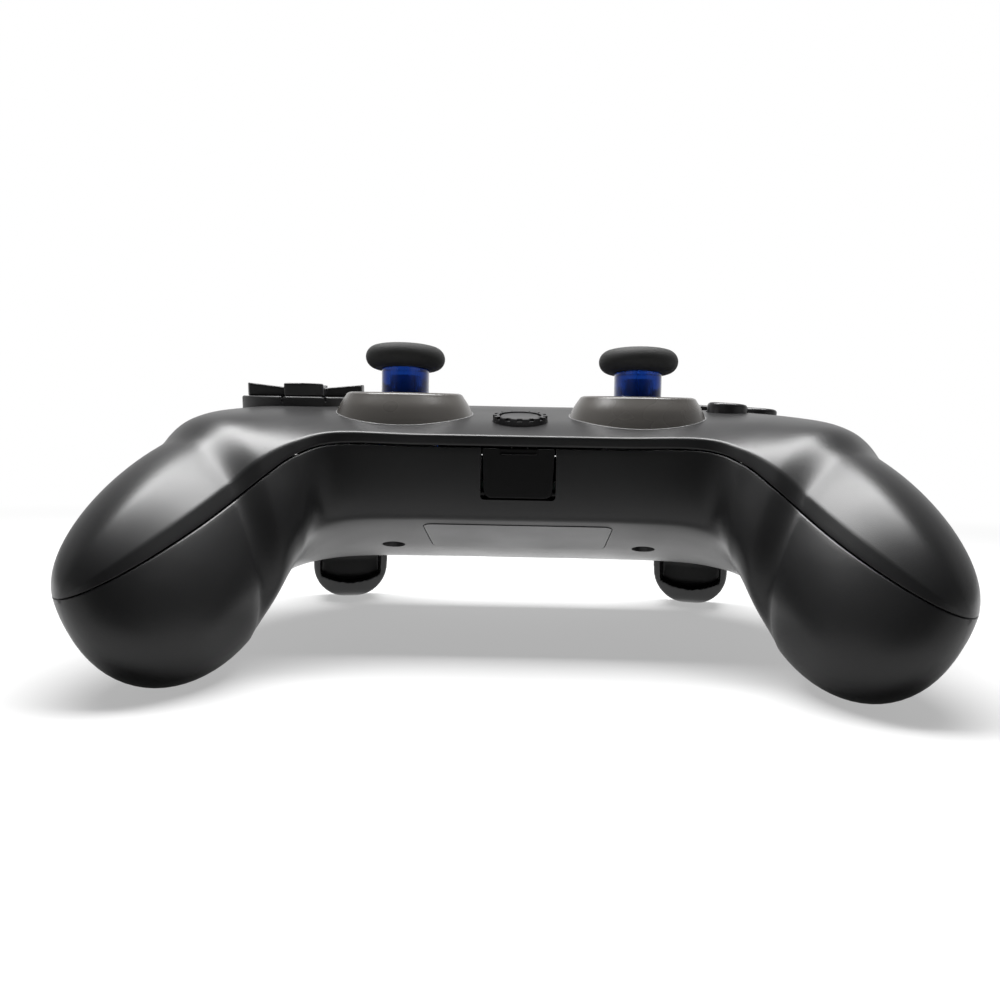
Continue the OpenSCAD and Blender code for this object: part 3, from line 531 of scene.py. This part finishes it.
def shell_mesh(name, is_top):
    grids = []
    for inside in (False, True):
        right = [shell_ring(u, is_top, inside) for u in half_us]
        left = [ring * [-1, 1, 1] for ring in right[:0:-1]]
        grids.append(np.array(left + right))
    points, faces, starts = [], [], []
    for skin, grid in enumerate(grids):
        rings, per = grid.shape[:2]
        starts.append(len(points))
        base = len(points)
        points.extend(grid.reshape(-1, 3))
        tip = shell_ring(6.0, is_top, skin == 1)[0]
        points.extend([tip * [-1, 1, 1], tip])
        left_tip, right_tip = len(points) - 2, len(points) - 1
        for i in range(-1, rings):
            for j in range(per - 1):
                corners = [left_tip if i < 0 else base + i * per + j,
                           left_tip if i < 0 else base + i * per + j + 1,
                           right_tip if i + 1 == rings else base + (i + 1) * per + j + 1,
                           right_tip if i + 1 == rings else base + (i + 1) * per + j]
                corners = list(dict.fromkeys(corners))
                faces.append(corners if skin == 0 else corners[::-1])
    rings, per_out, per_in = len(grids[0]), grids[0].shape[1], grids[1].shape[1]
    tips = [(starts[1] - 2, len(points) - 2), (starts[1] - 1, len(points) - 1)]
    for i in range(-1, rings):
        for j_out, j_in in ((0, 0), (per_out - 1, per_in - 1)):
            out = [tips[0][0] if i < 0 else i * per_out + j_out,
                   tips[1][0] if i + 1 == rings else (i + 1) * per_out + j_out]
            inn = [tips[0][1] if i < 0 else starts[1] + i * per_in + j_in,
                   tips[1][1] if i + 1 == rings else starts[1] + (i + 1) * per_in + j_in]
            faces.append([out[0], out[1], inn[1], inn[0]] if j_out == 0 else [out[1], out[0], inn[0], inn[1]])
    made = plain_mesh_object(name, np.array(points) * MM, faces)
    work = bmesh.new()
    work.from_mesh(made.data)
    bmesh.ops.recalc_face_normals(work, faces=work.faces)
    open_edges = sum(not e.is_manifold for e in work.edges)
    work.to_mesh(made.data)
    work.free()
    print(name, "vertices:", len(points), "open edges:", open_edges)
    return made


top_blank = shell_mesh("top_blank", True)
bottom_blank = shell_mesh("bottom_blank", False)

# %% [markdown]
# ## Holes in the shells
# Every button, stick and cover needs its opening. Each opening is cut with a simple closed form that is a
# little larger than the piece in it: a turned form for round holes, a drawn outline for the others. All
# cutters of one shell are joined, because none of them touch, and one cut does the work.


# %% Turned and drawn forms
def turned(name, profile, place=Matrix.Identity(4), around=96, closed=False):
    """A form turned about the Z axis of its place. A profile that isn't closed starts and ends on the axis."""
    profile = np.array(profile, float)
    angles = np.linspace(0, 2 * math.pi, around, endpoint=False)
    points, faces, rings = [], [], []
    for r, z in profile:
        if r < 1e-9:
            rings.append([len(points)] * around)
            points.append((0, 0, z))
        else:
            rings.append(list(range(len(points), len(points) + around)))
            points.extend(np.column_stack([r * np.cos(angles), r * np.sin(angles), np.full(around, z)]))
    pairs = list(zip(rings, rings[1:])) + ([(rings[-1], rings[0])] if closed else [])
    for a, b in pairs:
        for i in range(around):
            k = (i + 1) % around
            corners = list(dict.fromkeys([a[i], b[i], b[k], a[k]]))
            if len(corners) > 2:
                faces.append(corners)
    made = plain_mesh_object(name, np.array(points) * MM, faces)
    face_outwards(made, place)
    return made


def drawn_out(name, outline, low, high, place=Matrix.Identity(4)):
    """An outline in XY, drawn out from low to high in its place."""
    count = len(outline)
    points = [(x, y, low) for x, y in outline] + [(x, y, high) for x, y in outline]
    faces = [list(range(count))[::-1], list(range(count, 2 * count))]
    faces += [[i, (i + 1) % count, count + (i + 1) % count, count + i] for i in range(count)]
    made = plain_mesh_object(name, np.array(points) * MM, faces)
    face_outwards(made, place)
    return made


def face_outwards(made, place=Matrix.Identity(4)):
    move = place.copy()
    move.translation = move.translation * MM
    made.data.transform(move)
    work = bmesh.new()
    work.from_mesh(made.data)
    bmesh.ops.recalc_face_normals(work, faces=work.faces)
    work.to_mesh(made.data)
    work.free()


def at(x, y, z, rx=0.0, ry=0.0, rz=0.0):
    """A place in millimetres, turned by degrees about X, then Y, then Z."""
    return (Matrix.Translation((x, y, z)) @ Matrix.Rotation(math.radians(rz), 4, "Z")
            @ Matrix.Rotation(math.radians(ry), 4, "Y") @ Matrix.Rotation(math.radians(rx), 4, "X"))


def pill(length, width, steps=14):
    """Outline of a slot with round ends."""
    r, half = width / 2, (length - width) / 2
    ends = [(half + r * math.cos(a), r * math.sin(a)) for a in np.linspace(-math.pi / 2, math.pi / 2, steps)]
    return ends + [(-x, -y) for x, y in ends]


def soft_rectangle(width, length, r, steps=7):
    corners = []
    for i, (sx, sy) in enumerate([(1, 1), (-1, 1), (-1, -1), (1, -1)]):
        for a in np.linspace(i * 90, i * 90 + 90, steps):
            corners.append((sx * (width / 2 - r) + r * math.cos(math.radians(a)),
                            sy * (length / 2 - r) + r * math.sin(math.radians(a))))
    return corners


def join(name, pieces):
    """One object out of several, with their places kept."""
    work = bmesh.new()
    for piece in pieces:
        work.from_mesh(piece.data)
        bpy.data.objects.remove(piece)
    mesh = bpy.data.meshes.new(name)
    work.to_mesh(mesh)
    work.free()
    return placed(name, mesh)


def evaluated_copy(source, name):
    """The object as its modifiers show it, as a plain mesh object; the source goes."""
    graph = bpy.context.evaluated_depsgraph_get()
    mesh = bpy.data.meshes.new_from_object(source.evaluated_get(graph))
    bpy.data.objects.remove(source)
    mesh.name = name
    return placed(name, mesh)


def cut(blank, cutter, name):
    step = blank.modifiers.new("cut", "BOOLEAN")
    step.operation = "DIFFERENCE"
    step.solver = "EXACT"
    step.object = cutter
    made = evaluated_copy(blank, name)
    bpy.data.objects.remove(cutter)
    return made


print("forms ready")

# %% Cutters of the top shell
STICK_X, PIVOT_Z = 28.25, 47.8
MOUTH_Z = PIVOT_Z + 11.6
PAD_AT = at(-58.2, 19, 60, rx=6)
FACE_AT = at(53.2, 22, 60.1, rx=4, ry=4)
HOME_AT = at(0, -9, 52.2, rx=14)
GAP = 0.3
SURROUND_TILT, PAD_TURN = 6, 14
surround_side = [(12.9, 0), (13.7, -0.3), (14.2, -0.95), (15.5, -3), (16.5, -5.4), (17.3, -7.8), (17.8, -9.4)]
face_spots = {"near": (0, -11.5), "right": (11.5, 0), "far": (0, 11.5), "left": (-11.5, 0)}


def shoulder_at(side):
    """The place of trigger and bumper: the chord of the back wall."""
    return at(side * (SHOULDER - 5), BACK - 3.3, 0, rz=side * -15.7)


def bumper_outline(grow):
    half, centre = 13.5 + grow, 2.5 - 38
    xs = np.linspace(-half, half, 40)
    outer = [(x, centre + math.sqrt((39.5 + grow) ** 2 - x * x)) for x in xs]
    inner = [(x, centre + math.sqrt((34.6 - 3 * grow) ** 2 - x * x)) for x in xs]
    return outer + inner[::-1]


cutters = []
for side in (-1, 1):
    profile = [(0, 3), (13.05, 3)] + [(r + 0.15, z) for r, z in surround_side] + [(0, -9.4)]
    cutters.append(turned("stick_cut", profile, at(side * STICK_X, 0, MOUTH_Z, rx=SURROUND_TILT)))
    cutters.append(drawn_out("menu_cut", pill(9 + 2 * GAP, 4 + 2 * GAP), 45.8, 70.8, at(side * 22, 26, 0)))
    cutters.append(drawn_out("bumper_cut", bumper_outline(GAP), 44, 52.2, shoulder_at(side)))
cutters.append(turned("pad_cut", [(0, 12), (16.65, 12), (16.65, -9.3), (0, -9.3)], PAD_AT))
cutters.append(turned("home_cut", [(0, 12), (6.4, 12), (6.4, -12), (0, -12)], HOME_AT))
for x, y in face_spots.values():
    profile = [(0, 12), (5.3, 12), (5.3, -5.7), (6.1, -5.7), (6.1, -10.6), (0, -10.6)]
    cutters.append(turned("face_cut", profile, FACE_AT @ Matrix.Translation((x, y, 0)), around=64))
top_cutter = join("top_cutter", cutters)
print("top cutter faces:", len(top_cutter.data.polygons))

# %% Cutters of the bottom shell
LABEL_AT = at(0, -7.5, 25.37, rx=-19.65)
cutters = []
for side in (-1, 1):
    slot_outline = [(-11.6, -9), (11.6, -9), (11.6, 16), (-11.6, 16)]
    cutters.append(drawn_out("trigger_cut", slot_outline, 8, 42.8, shoulder_at(side)))
    for x, y, seat, low in ((30.6, 0, 25.6, 10), (66, -8, 16, 0)):
        profile = [(0, seat + 24), (1.5, seat + 24), (1.5, seat), (2.8, seat), (2.8, low - 2), (0, low - 2)]
        cutters.append(turned("screw_cut", profile, at(side * x, y, 0), around=40))
opening = [(8.05, 12.9), (-8.05, 12.9)]
for x, start in ((-7.25, math.pi), (7.25, 1.5 * math.pi)):
    opening += [(x + 0.8 * math.cos(a), 0.4 + 0.8 * math.sin(a))
                for a in np.linspace(start, start + math.pi / 2, 8)]
cutters.append(drawn_out("cover_cut", opening, 18, 26, at(0, 0, 34.9, rx=90)))
backwards = at(0, 0, 40.05, rx=90) @ Matrix.Scale(-1, 4, (0, 0, 1))
cutters.append(drawn_out("socket_cut", pill(10, 3.9), 42, 50, backwards))
cutters.append(drawn_out("label_cut", soft_rectangle(42.4, 20.4, 2.2), -6, 0.7, LABEL_AT))
bottom_cutter = join("bottom_cutter", cutters)
print("bottom cutter faces:", len(bottom_cutter.data.polygons))

# %% [markdown]
# A cut leaves long thin faces around each hole, and the light would stumble over them. So the cut shells
# borrow their shading directions from the uncut blanks: each corner on the outer skin looks up the nearest
# point of the blank and takes the smooth direction there. Only the walls of the holes keep their own.


# %% Cut and shade the shells
def smooth_directions(cut_piece, blank_mesh):
    """Custom normals on the skin faces of a cut piece, from the uncut mesh."""
    blank_mesh.polygons.foreach_set("use_smooth", np.ones(len(blank_mesh.polygons), bool))
    blank_mesh.update()
    blank_mesh.calc_loop_triangles()
    points = np.array([v.co for v in blank_mesh.vertices])
    normals = np.array([v.normal for v in blank_mesh.vertices])
    triangles = np.array([t.vertices for t in blank_mesh.loop_triangles])
    tree = BVHTree.FromPolygons([Vector(p) for p in points], [tuple(t) for t in triangles])
    mesh = cut_piece.data
    mesh.polygons.foreach_set("use_smooth", np.ones(len(mesh.polygons), bool))
    mesh.set_sharp_from_angle(angle=math.radians(32))
    looked_up = {}

    def direction_at(index):
        if index not in looked_up:
            spot, flat, face, gap = tree.find_nearest(mesh.vertices[index].co)
            a, b, c = (points[k] for k in triangles[face])
            p = np.array(spot)
            m = np.column_stack([b - a, c - a])
            uv = np.linalg.lstsq(m, p - a, rcond=None)[0]
            weights = np.array([1 - uv.sum(), *uv])
            looked_up[index] = (weights @ normals[triangles[face]], gap)
        return looked_up[index]

    corner_normals = np.zeros((len(mesh.loops), 3), np.float32)
    mesh.corner_normals.foreach_get("vector", corner_normals.ravel())
    borrowed = 0
    for face in mesh.polygons:
        spot, flat, index, gap = tree.find_nearest(face.center)
        if gap > 2e-5 or flat.dot(face.normal) < 0.95:
            continue
        for loop in face.loop_indices:
            normal, off = direction_at(mesh.loops[loop].vertex_index)
            if off < 3e-5 and np.dot(normal, face.normal) > 0.6:
                corner_normals[loop] = normal
                borrowed += 1
    mesh.normals_split_custom_set(corner_normals)
    print(cut_piece.name, "faces:", len(mesh.polygons), "borrowed corners:", borrowed)


def dressed(piece, body, finish, slot, *stands_for):
    """Gives a finished piece its material, its body and the solids that it stands for."""
    piece.data.materials.clear()
    piece.data.materials.append(finish)
    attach(piece, body)
    if stands_for:
        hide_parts(*stands_for)
    return piece


for blank, cutter, name, node in ((top_blank, top_cutter, "top_shell_skin", "top_shell"),
                                  (bottom_blank, bottom_cutter, "bottom_shell_skin", "bottom_shell")):
    uncut = blank.data.copy()
    skin = cut(blank, cutter, name)
    smooth_directions(skin, uncut)
    bpy.data.meshes.remove(uncut)
    dressed(skin, "housing", satin_shell, "shell", node)

# %% [markdown]
# ## Sticks
# A stick shows three turned pieces: the domed surround, the clear stem with its round foot ring, and the fat
# rubber cap with a shallow dish on top. Turning a drawn profile is the natural way to make them, as the real
# moulds are turned too.


# %% Surrounds
def through(points, steps):
    """A smooth curve through all the points."""
    p = np.array(points, float)
    p = np.vstack([2 * p[0] - p[1], p, 2 * p[-1] - p[-2]])
    out = []
    for i in range(1, len(p) - 2):
        for f in np.linspace(0, 1, steps, endpoint=False):
            out.append(0.5 * (2 * p[i] + (p[i + 1] - p[i - 1]) * f
                              + (2 * p[i - 1] - 5 * p[i] + 4 * p[i + 1] - p[i + 2]) * f ** 2
                              + (3 * p[i] - p[i - 1] - 3 * p[i + 1] + p[i + 2]) * f ** 3))
    return out + [p[-2]]


def shade_smooth(piece, degrees=38):
    mesh = piece.data
    mesh.polygons.foreach_set("use_smooth", np.ones(len(mesh.polygons), bool))
    mesh.set_sharp_from_angle(angle=math.radians(degrees))
    return piece


sides = {"left": -1, "right": 1}
for side, sign in sides.items():
    outside = through(surround_side, 8)
    inside = [(15.8, -9.4), (15.2, -7.6), (13.9, -4.2), (12.4, -2.2), (11, -1.4), (11, -0.5),
              (11.15, -0.2), (11.5, 0)]
    mouth = at(sign * STICK_X, 0, MOUTH_Z, rx=SURROUND_TILT)
    dome = turned(f"{side}_surround_dome", outside + inside, mouth, around=128, closed=True)
    dressed(shade_smooth(dome), "housing", surround_grey_and_painted_reflection, "surround", f"{side}_stick_surround")
print("surround points:", len(outside) + len(inside))

# %% Stems and caps
STEM_TOP, FOOT_R, SKIRT_R, SKIRT_IN = 17.2, 6.3, 12, 10.8
foot = math.asin(FOOT_R / SKIRT_R)


def ball(r, a0, a1, n):
    return [(r * math.sin(a), r * math.cos(a)) for a in np.linspace(a0, a1, n)]


edge_angle = math.radians(66)
stem_profile = [(0, STEM_TOP), (5.6, STEM_TOP), (5.7, 17.1), (5.7, 11.5), (5.78, 11.3), (6.0, 11.2),
                (6.2, 11.12), (FOOT_R, 10.95), (FOOT_R, SKIRT_R * math.cos(foot))]
stem_profile += ball(SKIRT_R, foot + 0.02, edge_angle, 20)
stem_profile += ball(SKIRT_IN, edge_angle, math.asin(4.6 / SKIRT_IN), 20)
stem_profile += [(2.55, 7), (2.55, 15.4), (0, 15.4)]
for side, sign in sides.items():
    spot = at(sign * STICK_X, 0, PIVOT_Z)
    stem = turned(f"{side}_clear_stem", stem_profile, spot, around=128)
    dressed(shade_smooth(stem), f"{side}_stick", stem_blue, "stem_plastic", f"{side}_stick_stem")
    fat = [(6.8 + 2.7 * math.cos(a), 2.7 + 2.7 * math.sin(a)) for a in np.radians(np.linspace(-90, 64, 34))]
    dish = through([fat[-1], (7.2, 5.33), (6.2, 5.32), (4.8, 5.02), (2.4, 4.62), (0.001, 4.5)], 6)
    cap_profile = [(0, 0)] + fat[:-1] + dish[:-1] + [(0, 4.5)]
    cap = turned(f"{side}_rubber_cap", cap_profile, spot @ Matrix.Translation((0, 0, STEM_TOP)), around=144)
    dressed(shade_smooth(cap, 50), f"{side}_stick", cap_rubber, "cap_rubber", f"{side}_stick_cap")
print("stem points:", len(stem_profile))

# %% [markdown]
# ## Pieces with soft moulded edges
# The direction-pad cross, the triggers, the bumpers and the front cover are solid forms with flat sides. Real
# mouldings have no knife edges. A fine even re-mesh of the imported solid, followed by a few rounds of
# smoothing, rounds every edge by the same small amount and keeps the solid's place and size.


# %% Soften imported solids
def softened(node, name, voxel, rounds):
    """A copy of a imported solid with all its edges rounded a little."""
    mesh = nodes[node].data.copy()
    work = bmesh.new()
    work.from_mesh(mesh)
    bmesh.ops.remove_doubles(work, verts=work.verts, dist=1e-6)
    work.to_mesh(mesh)
    work.free()
    copy = placed(name, mesh)
    even = copy.modifiers.new("even", "REMESH")
    even.mode = "VOXEL"
    even.voxel_size = voxel * MM
    even.use_smooth_shade = True
    ease = copy.modifiers.new("ease", "SMOOTH")
    ease.factor = 0.5
    ease.iterations = rounds
    return evaluated_copy(copy, name)


made = softened("dpad_cross", "pad_cross_skin", 0.28, 5)
dressed(made, "dpad", button_black, "button_plastic", "dpad_cross")
print(made.name, len(made.data.polygons))
for side in sides:
    made = softened(f"{side}_trigger", f"{side}_trigger_skin", 0.42, 6)
    dressed(made, f"{side}_trigger", satin_shell, "shell", f"{side}_trigger")
    print(made.name, len(made.data.polygons))
    made = softened(f"{side}_bumper", f"{side}_bumper_skin", 0.3, 4)
    dressed(made, f"{side}_bumper", satin_shell, "shell", f"{side}_bumper")
    print(made.name, len(made.data.polygons))
made = softened("port_cover", "port_cover_skin", 0.16, 4)
dressed(made, "port_cover", cover_black, "dark_plastic", "port_cover")
print(made.name, len(made.data.polygons))

# %% [markdown]
# ## Round buttons and discs
# The face buttons have a gently domed top and a round edge. The home button is a flat disc. The raised disc
# below the direction pad is turned as well, and then gets holes for the feet of the cross and a well below it.


# %% Face buttons
def rounded_corner(centre, r, a0, a1, n=8):
    angles = np.radians(np.linspace(a0, a1, n))
    return [(centre[0] + r * math.cos(a), centre[1] + r * math.sin(a)) for a in angles]


for name, (x, y) in face_spots.items():
    profile = [(0, 0.15), (1.5, 0.13), (3, 0.06)] + rounded_corner((4.1, -0.9), 0.9, 88, 0)
    profile += [(5, -6), (5.8, -6), (5.8, -6.8), (4, -6.8), (4, -8.5), (0, -8.5)]
    button = turned(f"{name}_face_button", profile, FACE_AT @ Matrix.Translation((x, y, 0)), around=96)
    dressed(shade_smooth(button), f"{name}_button", button_black, "button_plastic", f"{name}_button")
print("face buttons:", len(face_spots))

# %% Home button and pad disc
profile = [(0, 1.34), (2, 1.36), (3.8, 1.4)] + rounded_corner((4.2, 1.0), 0.4, 88, 0)
profile += [(4.6, -2.4), (5.6, -2.4), (5.6, -3.4), (2, -3.4), (2, -9), (0, -9)]
home = turned("home_disc", profile, HOME_AT, around=96)
dressed(shade_smooth(home), "home_button", button_black, "button_plastic", "home_button")
profile = [(5.2, 0), (16, 0)] + rounded_corner((16, -0.5), 0.5, 80, 0, 6)
profile += [(16.5, -9), (14.5, -9), (14.5, -3), (7.2, -3), (7.2, -8), (5.6, -8), (5.6, -1), (5.2, -1)]
disc = turned("pad_disc_blank", profile, PAD_AT, around=128, closed=True)
holes = []
for quarter in range(4):
    hole_at = PAD_AT @ Matrix.Rotation(quarter * math.pi / 2, 4, "Z") @ Matrix.Translation((9.6, 0, 0))
    holes.append(turned("foot_cut", [(0, 1), (2.5, 1), (2.5, -3.9), (0, -3.9)], hole_at, around=40))
pin_hole = turned("pin_cut", [(0, 6.6), (0.75, 6.6), (0.75, -6.6), (0, -6.6)],
                  PAD_AT @ Matrix.Translation((0, 0, -6)) @ Matrix.Rotation(math.pi / 2, 4, "Y"), around=24)
disc = cut(disc, join("disc_cutter", holes + [pin_hole]), "pad_disc_drilled")
half, arm = 9.5 / 2 + 0.7, 15.7
well = [(half, -half), (arm, -half), (arm, half), (half, half), (half, arm), (-half, arm), (-half, half),
        (-arm, half), (-arm, -half), (-half, -half), (-half, -arm), (half, -arm)]
well_at = PAD_AT @ Matrix.Rotation(math.radians(PAD_TURN), 4, "Z")
disc = cut(disc, drawn_out("well_cut", well, -1.4, 1, well_at), "pad_disc")
dressed(shade_smooth(disc), "housing", pad_black, "dark_plastic", "dpad_disc")
print("disc faces:", len(disc.data.polygons))


# %% Menu buttons
def pebble(name, length, width, low, high, edge, place):
    """A slot-shaped button with a rounded top edge."""
    rows = [(0.0, low)]
    for a in np.linspace(0, math.pi / 2, 7):
        rows.append((edge * (1 - math.cos(a)), high - edge + edge * math.sin(a)))
    outlines = [[(*p, z) for p in pill(length - 2 * inset, width - 2 * inset)] for inset, z in rows]
    count = len(outlines[0])
    points = [p for ring in outlines for p in ring]
    faces = [list(range(count))[::-1], list(range(len(points) - count, len(points)))]
    for k in range(len(outlines) - 1):
        a, b = k * count, (k + 1) * count
        faces += [[a + i, a + (i + 1) % count, b + (i + 1) % count, b + i] for i in range(count)]
    made = plain_mesh_object(name, np.array(points) * MM, faces)
    face_outwards(made, place)
    return made


for side, sign in sides.items():
    spot = at(sign * 22, 26, 59.9)
    button = join(f"{side}_menu_pebble", [
        pebble("crown", 9, 4, -5.4, 0, 0.6, spot), drawn_out("flange", pill(10.8, 5.8), -6.2, -5.4, spot),
        turned("peg", [(0, -6.2), (1.5, -6.2), (1.5, 42.7 - 59.9), (0, 42.7 - 59.9)], spot, around=32)])
    dressed(shade_smooth(button), f"{side}_menu_button", button_black, "button_plastic", f"{side}_menu_button")
print("menu buttons: 2")

# %% [markdown]
# ## Screws, springs and lips
# Some things repeat or follow a line: the four case screws, the coils of the trigger springs, and the thin
# lip where the shell meets each stick surround, painted light grey as a painted highlight. Geometry Nodes suit
# them. Each group has named inputs for its sizes, runs on a small carrier mesh, and ends as a plain mesh with
# its finish.


# %% A maker of node groups
def geometry_group(name, inputs):
    """A group with a geometry input, named lengths in metres and a finish."""
    group = bpy.data.node_groups.new(name, "GeometryNodeTree")
    group.interface.new_socket(name="Geometry", in_out="INPUT", socket_type="NodeSocketGeometry")
    for label in inputs:
        group.interface.new_socket(name=label, in_out="INPUT", socket_type="NodeSocketFloat")
    group.interface.new_socket(name="Finish", in_out="INPUT", socket_type="NodeSocketMaterial")
    group.interface.new_socket(name="Geometry", in_out="OUTPUT", socket_type="NodeSocketGeometry")
    add, wire = node_tools(group)
    given, result = add("NodeGroupInput"), add("NodeGroupOutput")
    single, coat = add("GeometryNodeRealizeInstances"), add("GeometryNodeSetMaterial")
    wire(single, 0, coat, "Geometry")
    wire(given, "Finish", coat, "Material")
    wire(coat, 0, result, 0)
    return group, add, wire, given, single


def run_group(name, carrier, group, values, finish):
    """The carrier as the group shows it, as a plain mesh."""
    step = carrier.modifiers.new("maker", "NODES")
    step.node_group = group
    wanted = {**values, "Finish": finish}
    for socket in group.interface.items_tree:
        if socket.in_out == "INPUT" and socket.name in wanted:
            step[socket.identifier] = wanted[socket.name]
    carrier.update_tag()
    return shade_smooth(evaluated_copy(carrier, name))


# %% Wire along a line
wire_group, add, wire, given, last = geometry_group("wire_along", ["Wire radius", "Point spacing"])
line = add("GeometryNodeMeshToCurve")
even = add("GeometryNodeResampleCurve", mode="LENGTH")
ring = add("GeometryNodeCurvePrimitiveCircle", {"Resolution": 12}, mode="RADIUS")
tube = add("GeometryNodeCurveToMesh", {"Fill Caps": True})
wire(given, "Geometry", line, "Mesh")
wire(line, 0, even, "Curve")
wire(given, "Point spacing", even, "Length")
wire(given, "Wire radius", ring, "Radius")
wire(even, 0, tube, "Curve")
wire(ring, 0, tube, "Profile Curve")
wire(tube, 0, last, 0)

TURNS, COIL_R = 6, 2.2
spring_sizes = {"Wire radius": 0.45 * MM, "Point spacing": 0.3 * MM}
for side, sign in sides.items():
    angles = np.linspace(0, TURNS * 2 * math.pi, TURNS * 40 + 1)
    along_axis = angles / (2 * math.pi) - TURNS / 2
    coil = np.column_stack([along_axis, COIL_R * np.cos(angles), COIL_R * np.sin(angles)]) * MM
    carrier = plain_mesh_object("coil_line", coil, [], [(i, i + 1) for i in range(len(coil) - 1)])
    spring = run_group(f"{side}_spring_coil", carrier, wire_group, spring_sizes, plain_steel)
    face_outwards(spring, shoulder_at(sign) @ Matrix.Translation((0, -3.5, SEAM - 9.3)))
    dressed(spring, "housing", plain_steel, "steel", f"{side}_trigger_spring")
    print(spring.name, "faces:", len(spring.data.polygons))

# %% Lips of the stick holes
shell = bpy.data.objects["top_shell_skin"].data
work = bmesh.new()
work.from_mesh(shell)
lip_sizes = {"Wire radius": 0.16 * MM, "Point spacing": 0.5 * MM}
for side, sign in sides.items():
    back = at(sign * STICK_X, 0, MOUTH_Z, rx=SURROUND_TILT).inverted()
    kept_edges = []
    for edge in work.edges:
        if len(edge.link_faces) != 2 or edge.calc_face_angle(0) <= 0.5:
            continue
        if max(f.normal.z for f in edge.link_faces) > 0.6:
            spots = [back @ (v.co / MM) for v in edge.verts]
            if all(12 < math.hypot(q.x, q.y) < 18.6 and q.z < 0 for q in spots):
                kept_edges.append([v.index for v in edge.verts])
    used = sorted({i for pair in kept_edges for i in pair})
    place_of = {i: k for k, i in enumerate(used)}
    carrier = plain_mesh_object("lip_line", [shell.vertices[i].co for i in used], [],
                                [(place_of[a], place_of[b]) for a, b in kept_edges])
    # The lip's light grey is a painted highlight along the hole edge.
    lip = run_group(f"{side}_hole_lip", carrier, wire_group, lip_sizes, painted_lip_highlight)
    dressed(lip, "housing", painted_lip_highlight, "shell")
    print(lip.name, "edges:", len(kept_edges), "faces:", len(lip.data.polygons))
work.free()

# %% Case screws
screw_group, add, wire, given, last = geometry_group(
    "case_screw_maker",
    ["Head radius", "Head height", "Shank radius", "Slot length", "Slot width", "Slot depth"])
line = add("GeometryNodeMeshToCurve")
ring = add("GeometryNodeCurvePrimitiveCircle", {"Resolution": 24}, mode="RADIUS")
shank = add("GeometryNodeCurveToMesh", {"Fill Caps": True})
head = add("GeometryNodeMeshCylinder", {"Vertices": 48})
cross = add("GeometryNodeMeshBoolean", operation="DIFFERENCE")
marked = add("GeometryNodeInputNamedAttribute", {"Name": "is_head"}, data_type="BOOLEAN")
heads = add("GeometryNodeInstanceOnPoints")
all_of_it = add("GeometryNodeJoinGeometry")
for turned_slot in (False, True):
    size = add("ShaderNodeCombineXYZ")
    slot = add("GeometryNodeMeshCube")
    wire(given, "Slot length", size, "Y" if turned_slot else "X")
    wire(given, "Slot width", size, "X" if turned_slot else "Y")
    wire(given, "Slot depth", size, "Z")
    wire(size, 0, slot, "Size")
    drop = add("GeometryNodeTransform")
    low = add("ShaderNodeCombineXYZ")
    half_down = add("ShaderNodeMath", {1: -0.5}, operation="MULTIPLY")
    wire(given, "Head height", half_down, 0)
    wire(half_down, 0, low, "Z")
    wire(slot, "Mesh", drop, "Geometry")
    wire(low, 0, drop, "Translation")
    wire(drop, 0, cross, "Mesh 2")
wire(given, "Head radius", head, "Radius")
wire(given, "Head height", head, "Depth")
wire(head, "Mesh", cross, "Mesh 1")
wire(given, "Geometry", heads, "Points")
wire(marked, "Attribute", heads, "Selection")
wire(cross, "Mesh", heads, "Instance")
wire(given, "Geometry", line, "Mesh")
wire(given, "Shank radius", ring, "Radius")
wire(line, 0, shank, "Curve")
wire(ring, 0, shank, "Profile Curve")
wire(heads, 0, all_of_it, 0)
wire(shank, 0, all_of_it, 0)
wire(all_of_it, 0, last, 0)

solid = np.array([v.co for v in nodes["case_screws"].data.vertices]) / MM
ends, pairs, marks = [], [], []
for side in (-1, 1):
    for x, y in ((30.6, 0), (66, -8)):
        near = solid[np.hypot(solid[:, 0] - side * x, solid[:, 1] - y) < 3]
        ends += [(side * x, y, near[:, 2].min() + 0.85), (side * x, y, near[:, 2].max())]
        pairs.append((len(ends) - 2, len(ends) - 1))
        marks += [True, False]
carrier = plain_mesh_object("screw_lines", np.array(ends) * MM, [], pairs)
carrier.data.attributes.new("is_head", "BOOLEAN", "POINT").data.foreach_set("value", marks)
screws = run_group("case_screw_set", carrier, screw_group, {
    "Head radius": 2.4 * MM, "Head height": 1.7 * MM, "Shank radius": 1.2 * MM,
    "Slot length": 2.9 * MM, "Slot width": 0.7 * MM, "Slot depth": 1.8 * MM}, plain_steel)
face_outwards(screws)
dressed(screws, "housing", plain_steel, "steel", "case_screws")
print(screws.name, "faces:", len(screws.data.polygons))

# %% [markdown]
# ## Solids that stay as they are
# The inner pieces are sealed in the case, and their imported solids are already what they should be. So are the
# notched home ring and the bare label plate. They only need their finishes.

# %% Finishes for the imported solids
kept = {"home_ring": pad_black, "label_plate": label_sheet, "battery": cell_wrap}
kept.update(dict.fromkeys(("main_board", "dpad_board", "face_board"), board_green))
kept.update(dict.fromkeys(("dpad_mat", "face_mat"), mat_grey))
kept.update(dict.fromkeys(("mid_frame", "push_switches", "headset_jack"), frame_black))
kept.update(dict.fromkeys(("charge_socket", "dpad_gimbal"), plain_steel))
for side in sides:
    for name in ("stick_module", "rumble_motor", "trigger_pin", "stick_bail"):
        kept[f"{side}_{name}"] = plain_steel
    kept[f"{side}_stick_shaft"] = shaft_white
    kept[f"{side}_rumble_weight"] = sintered_iron
for name, finish in kept.items():
    nodes[name].data.materials.clear()
    nodes[name].data.materials.append(finish)
print("kept solids:", len(kept))
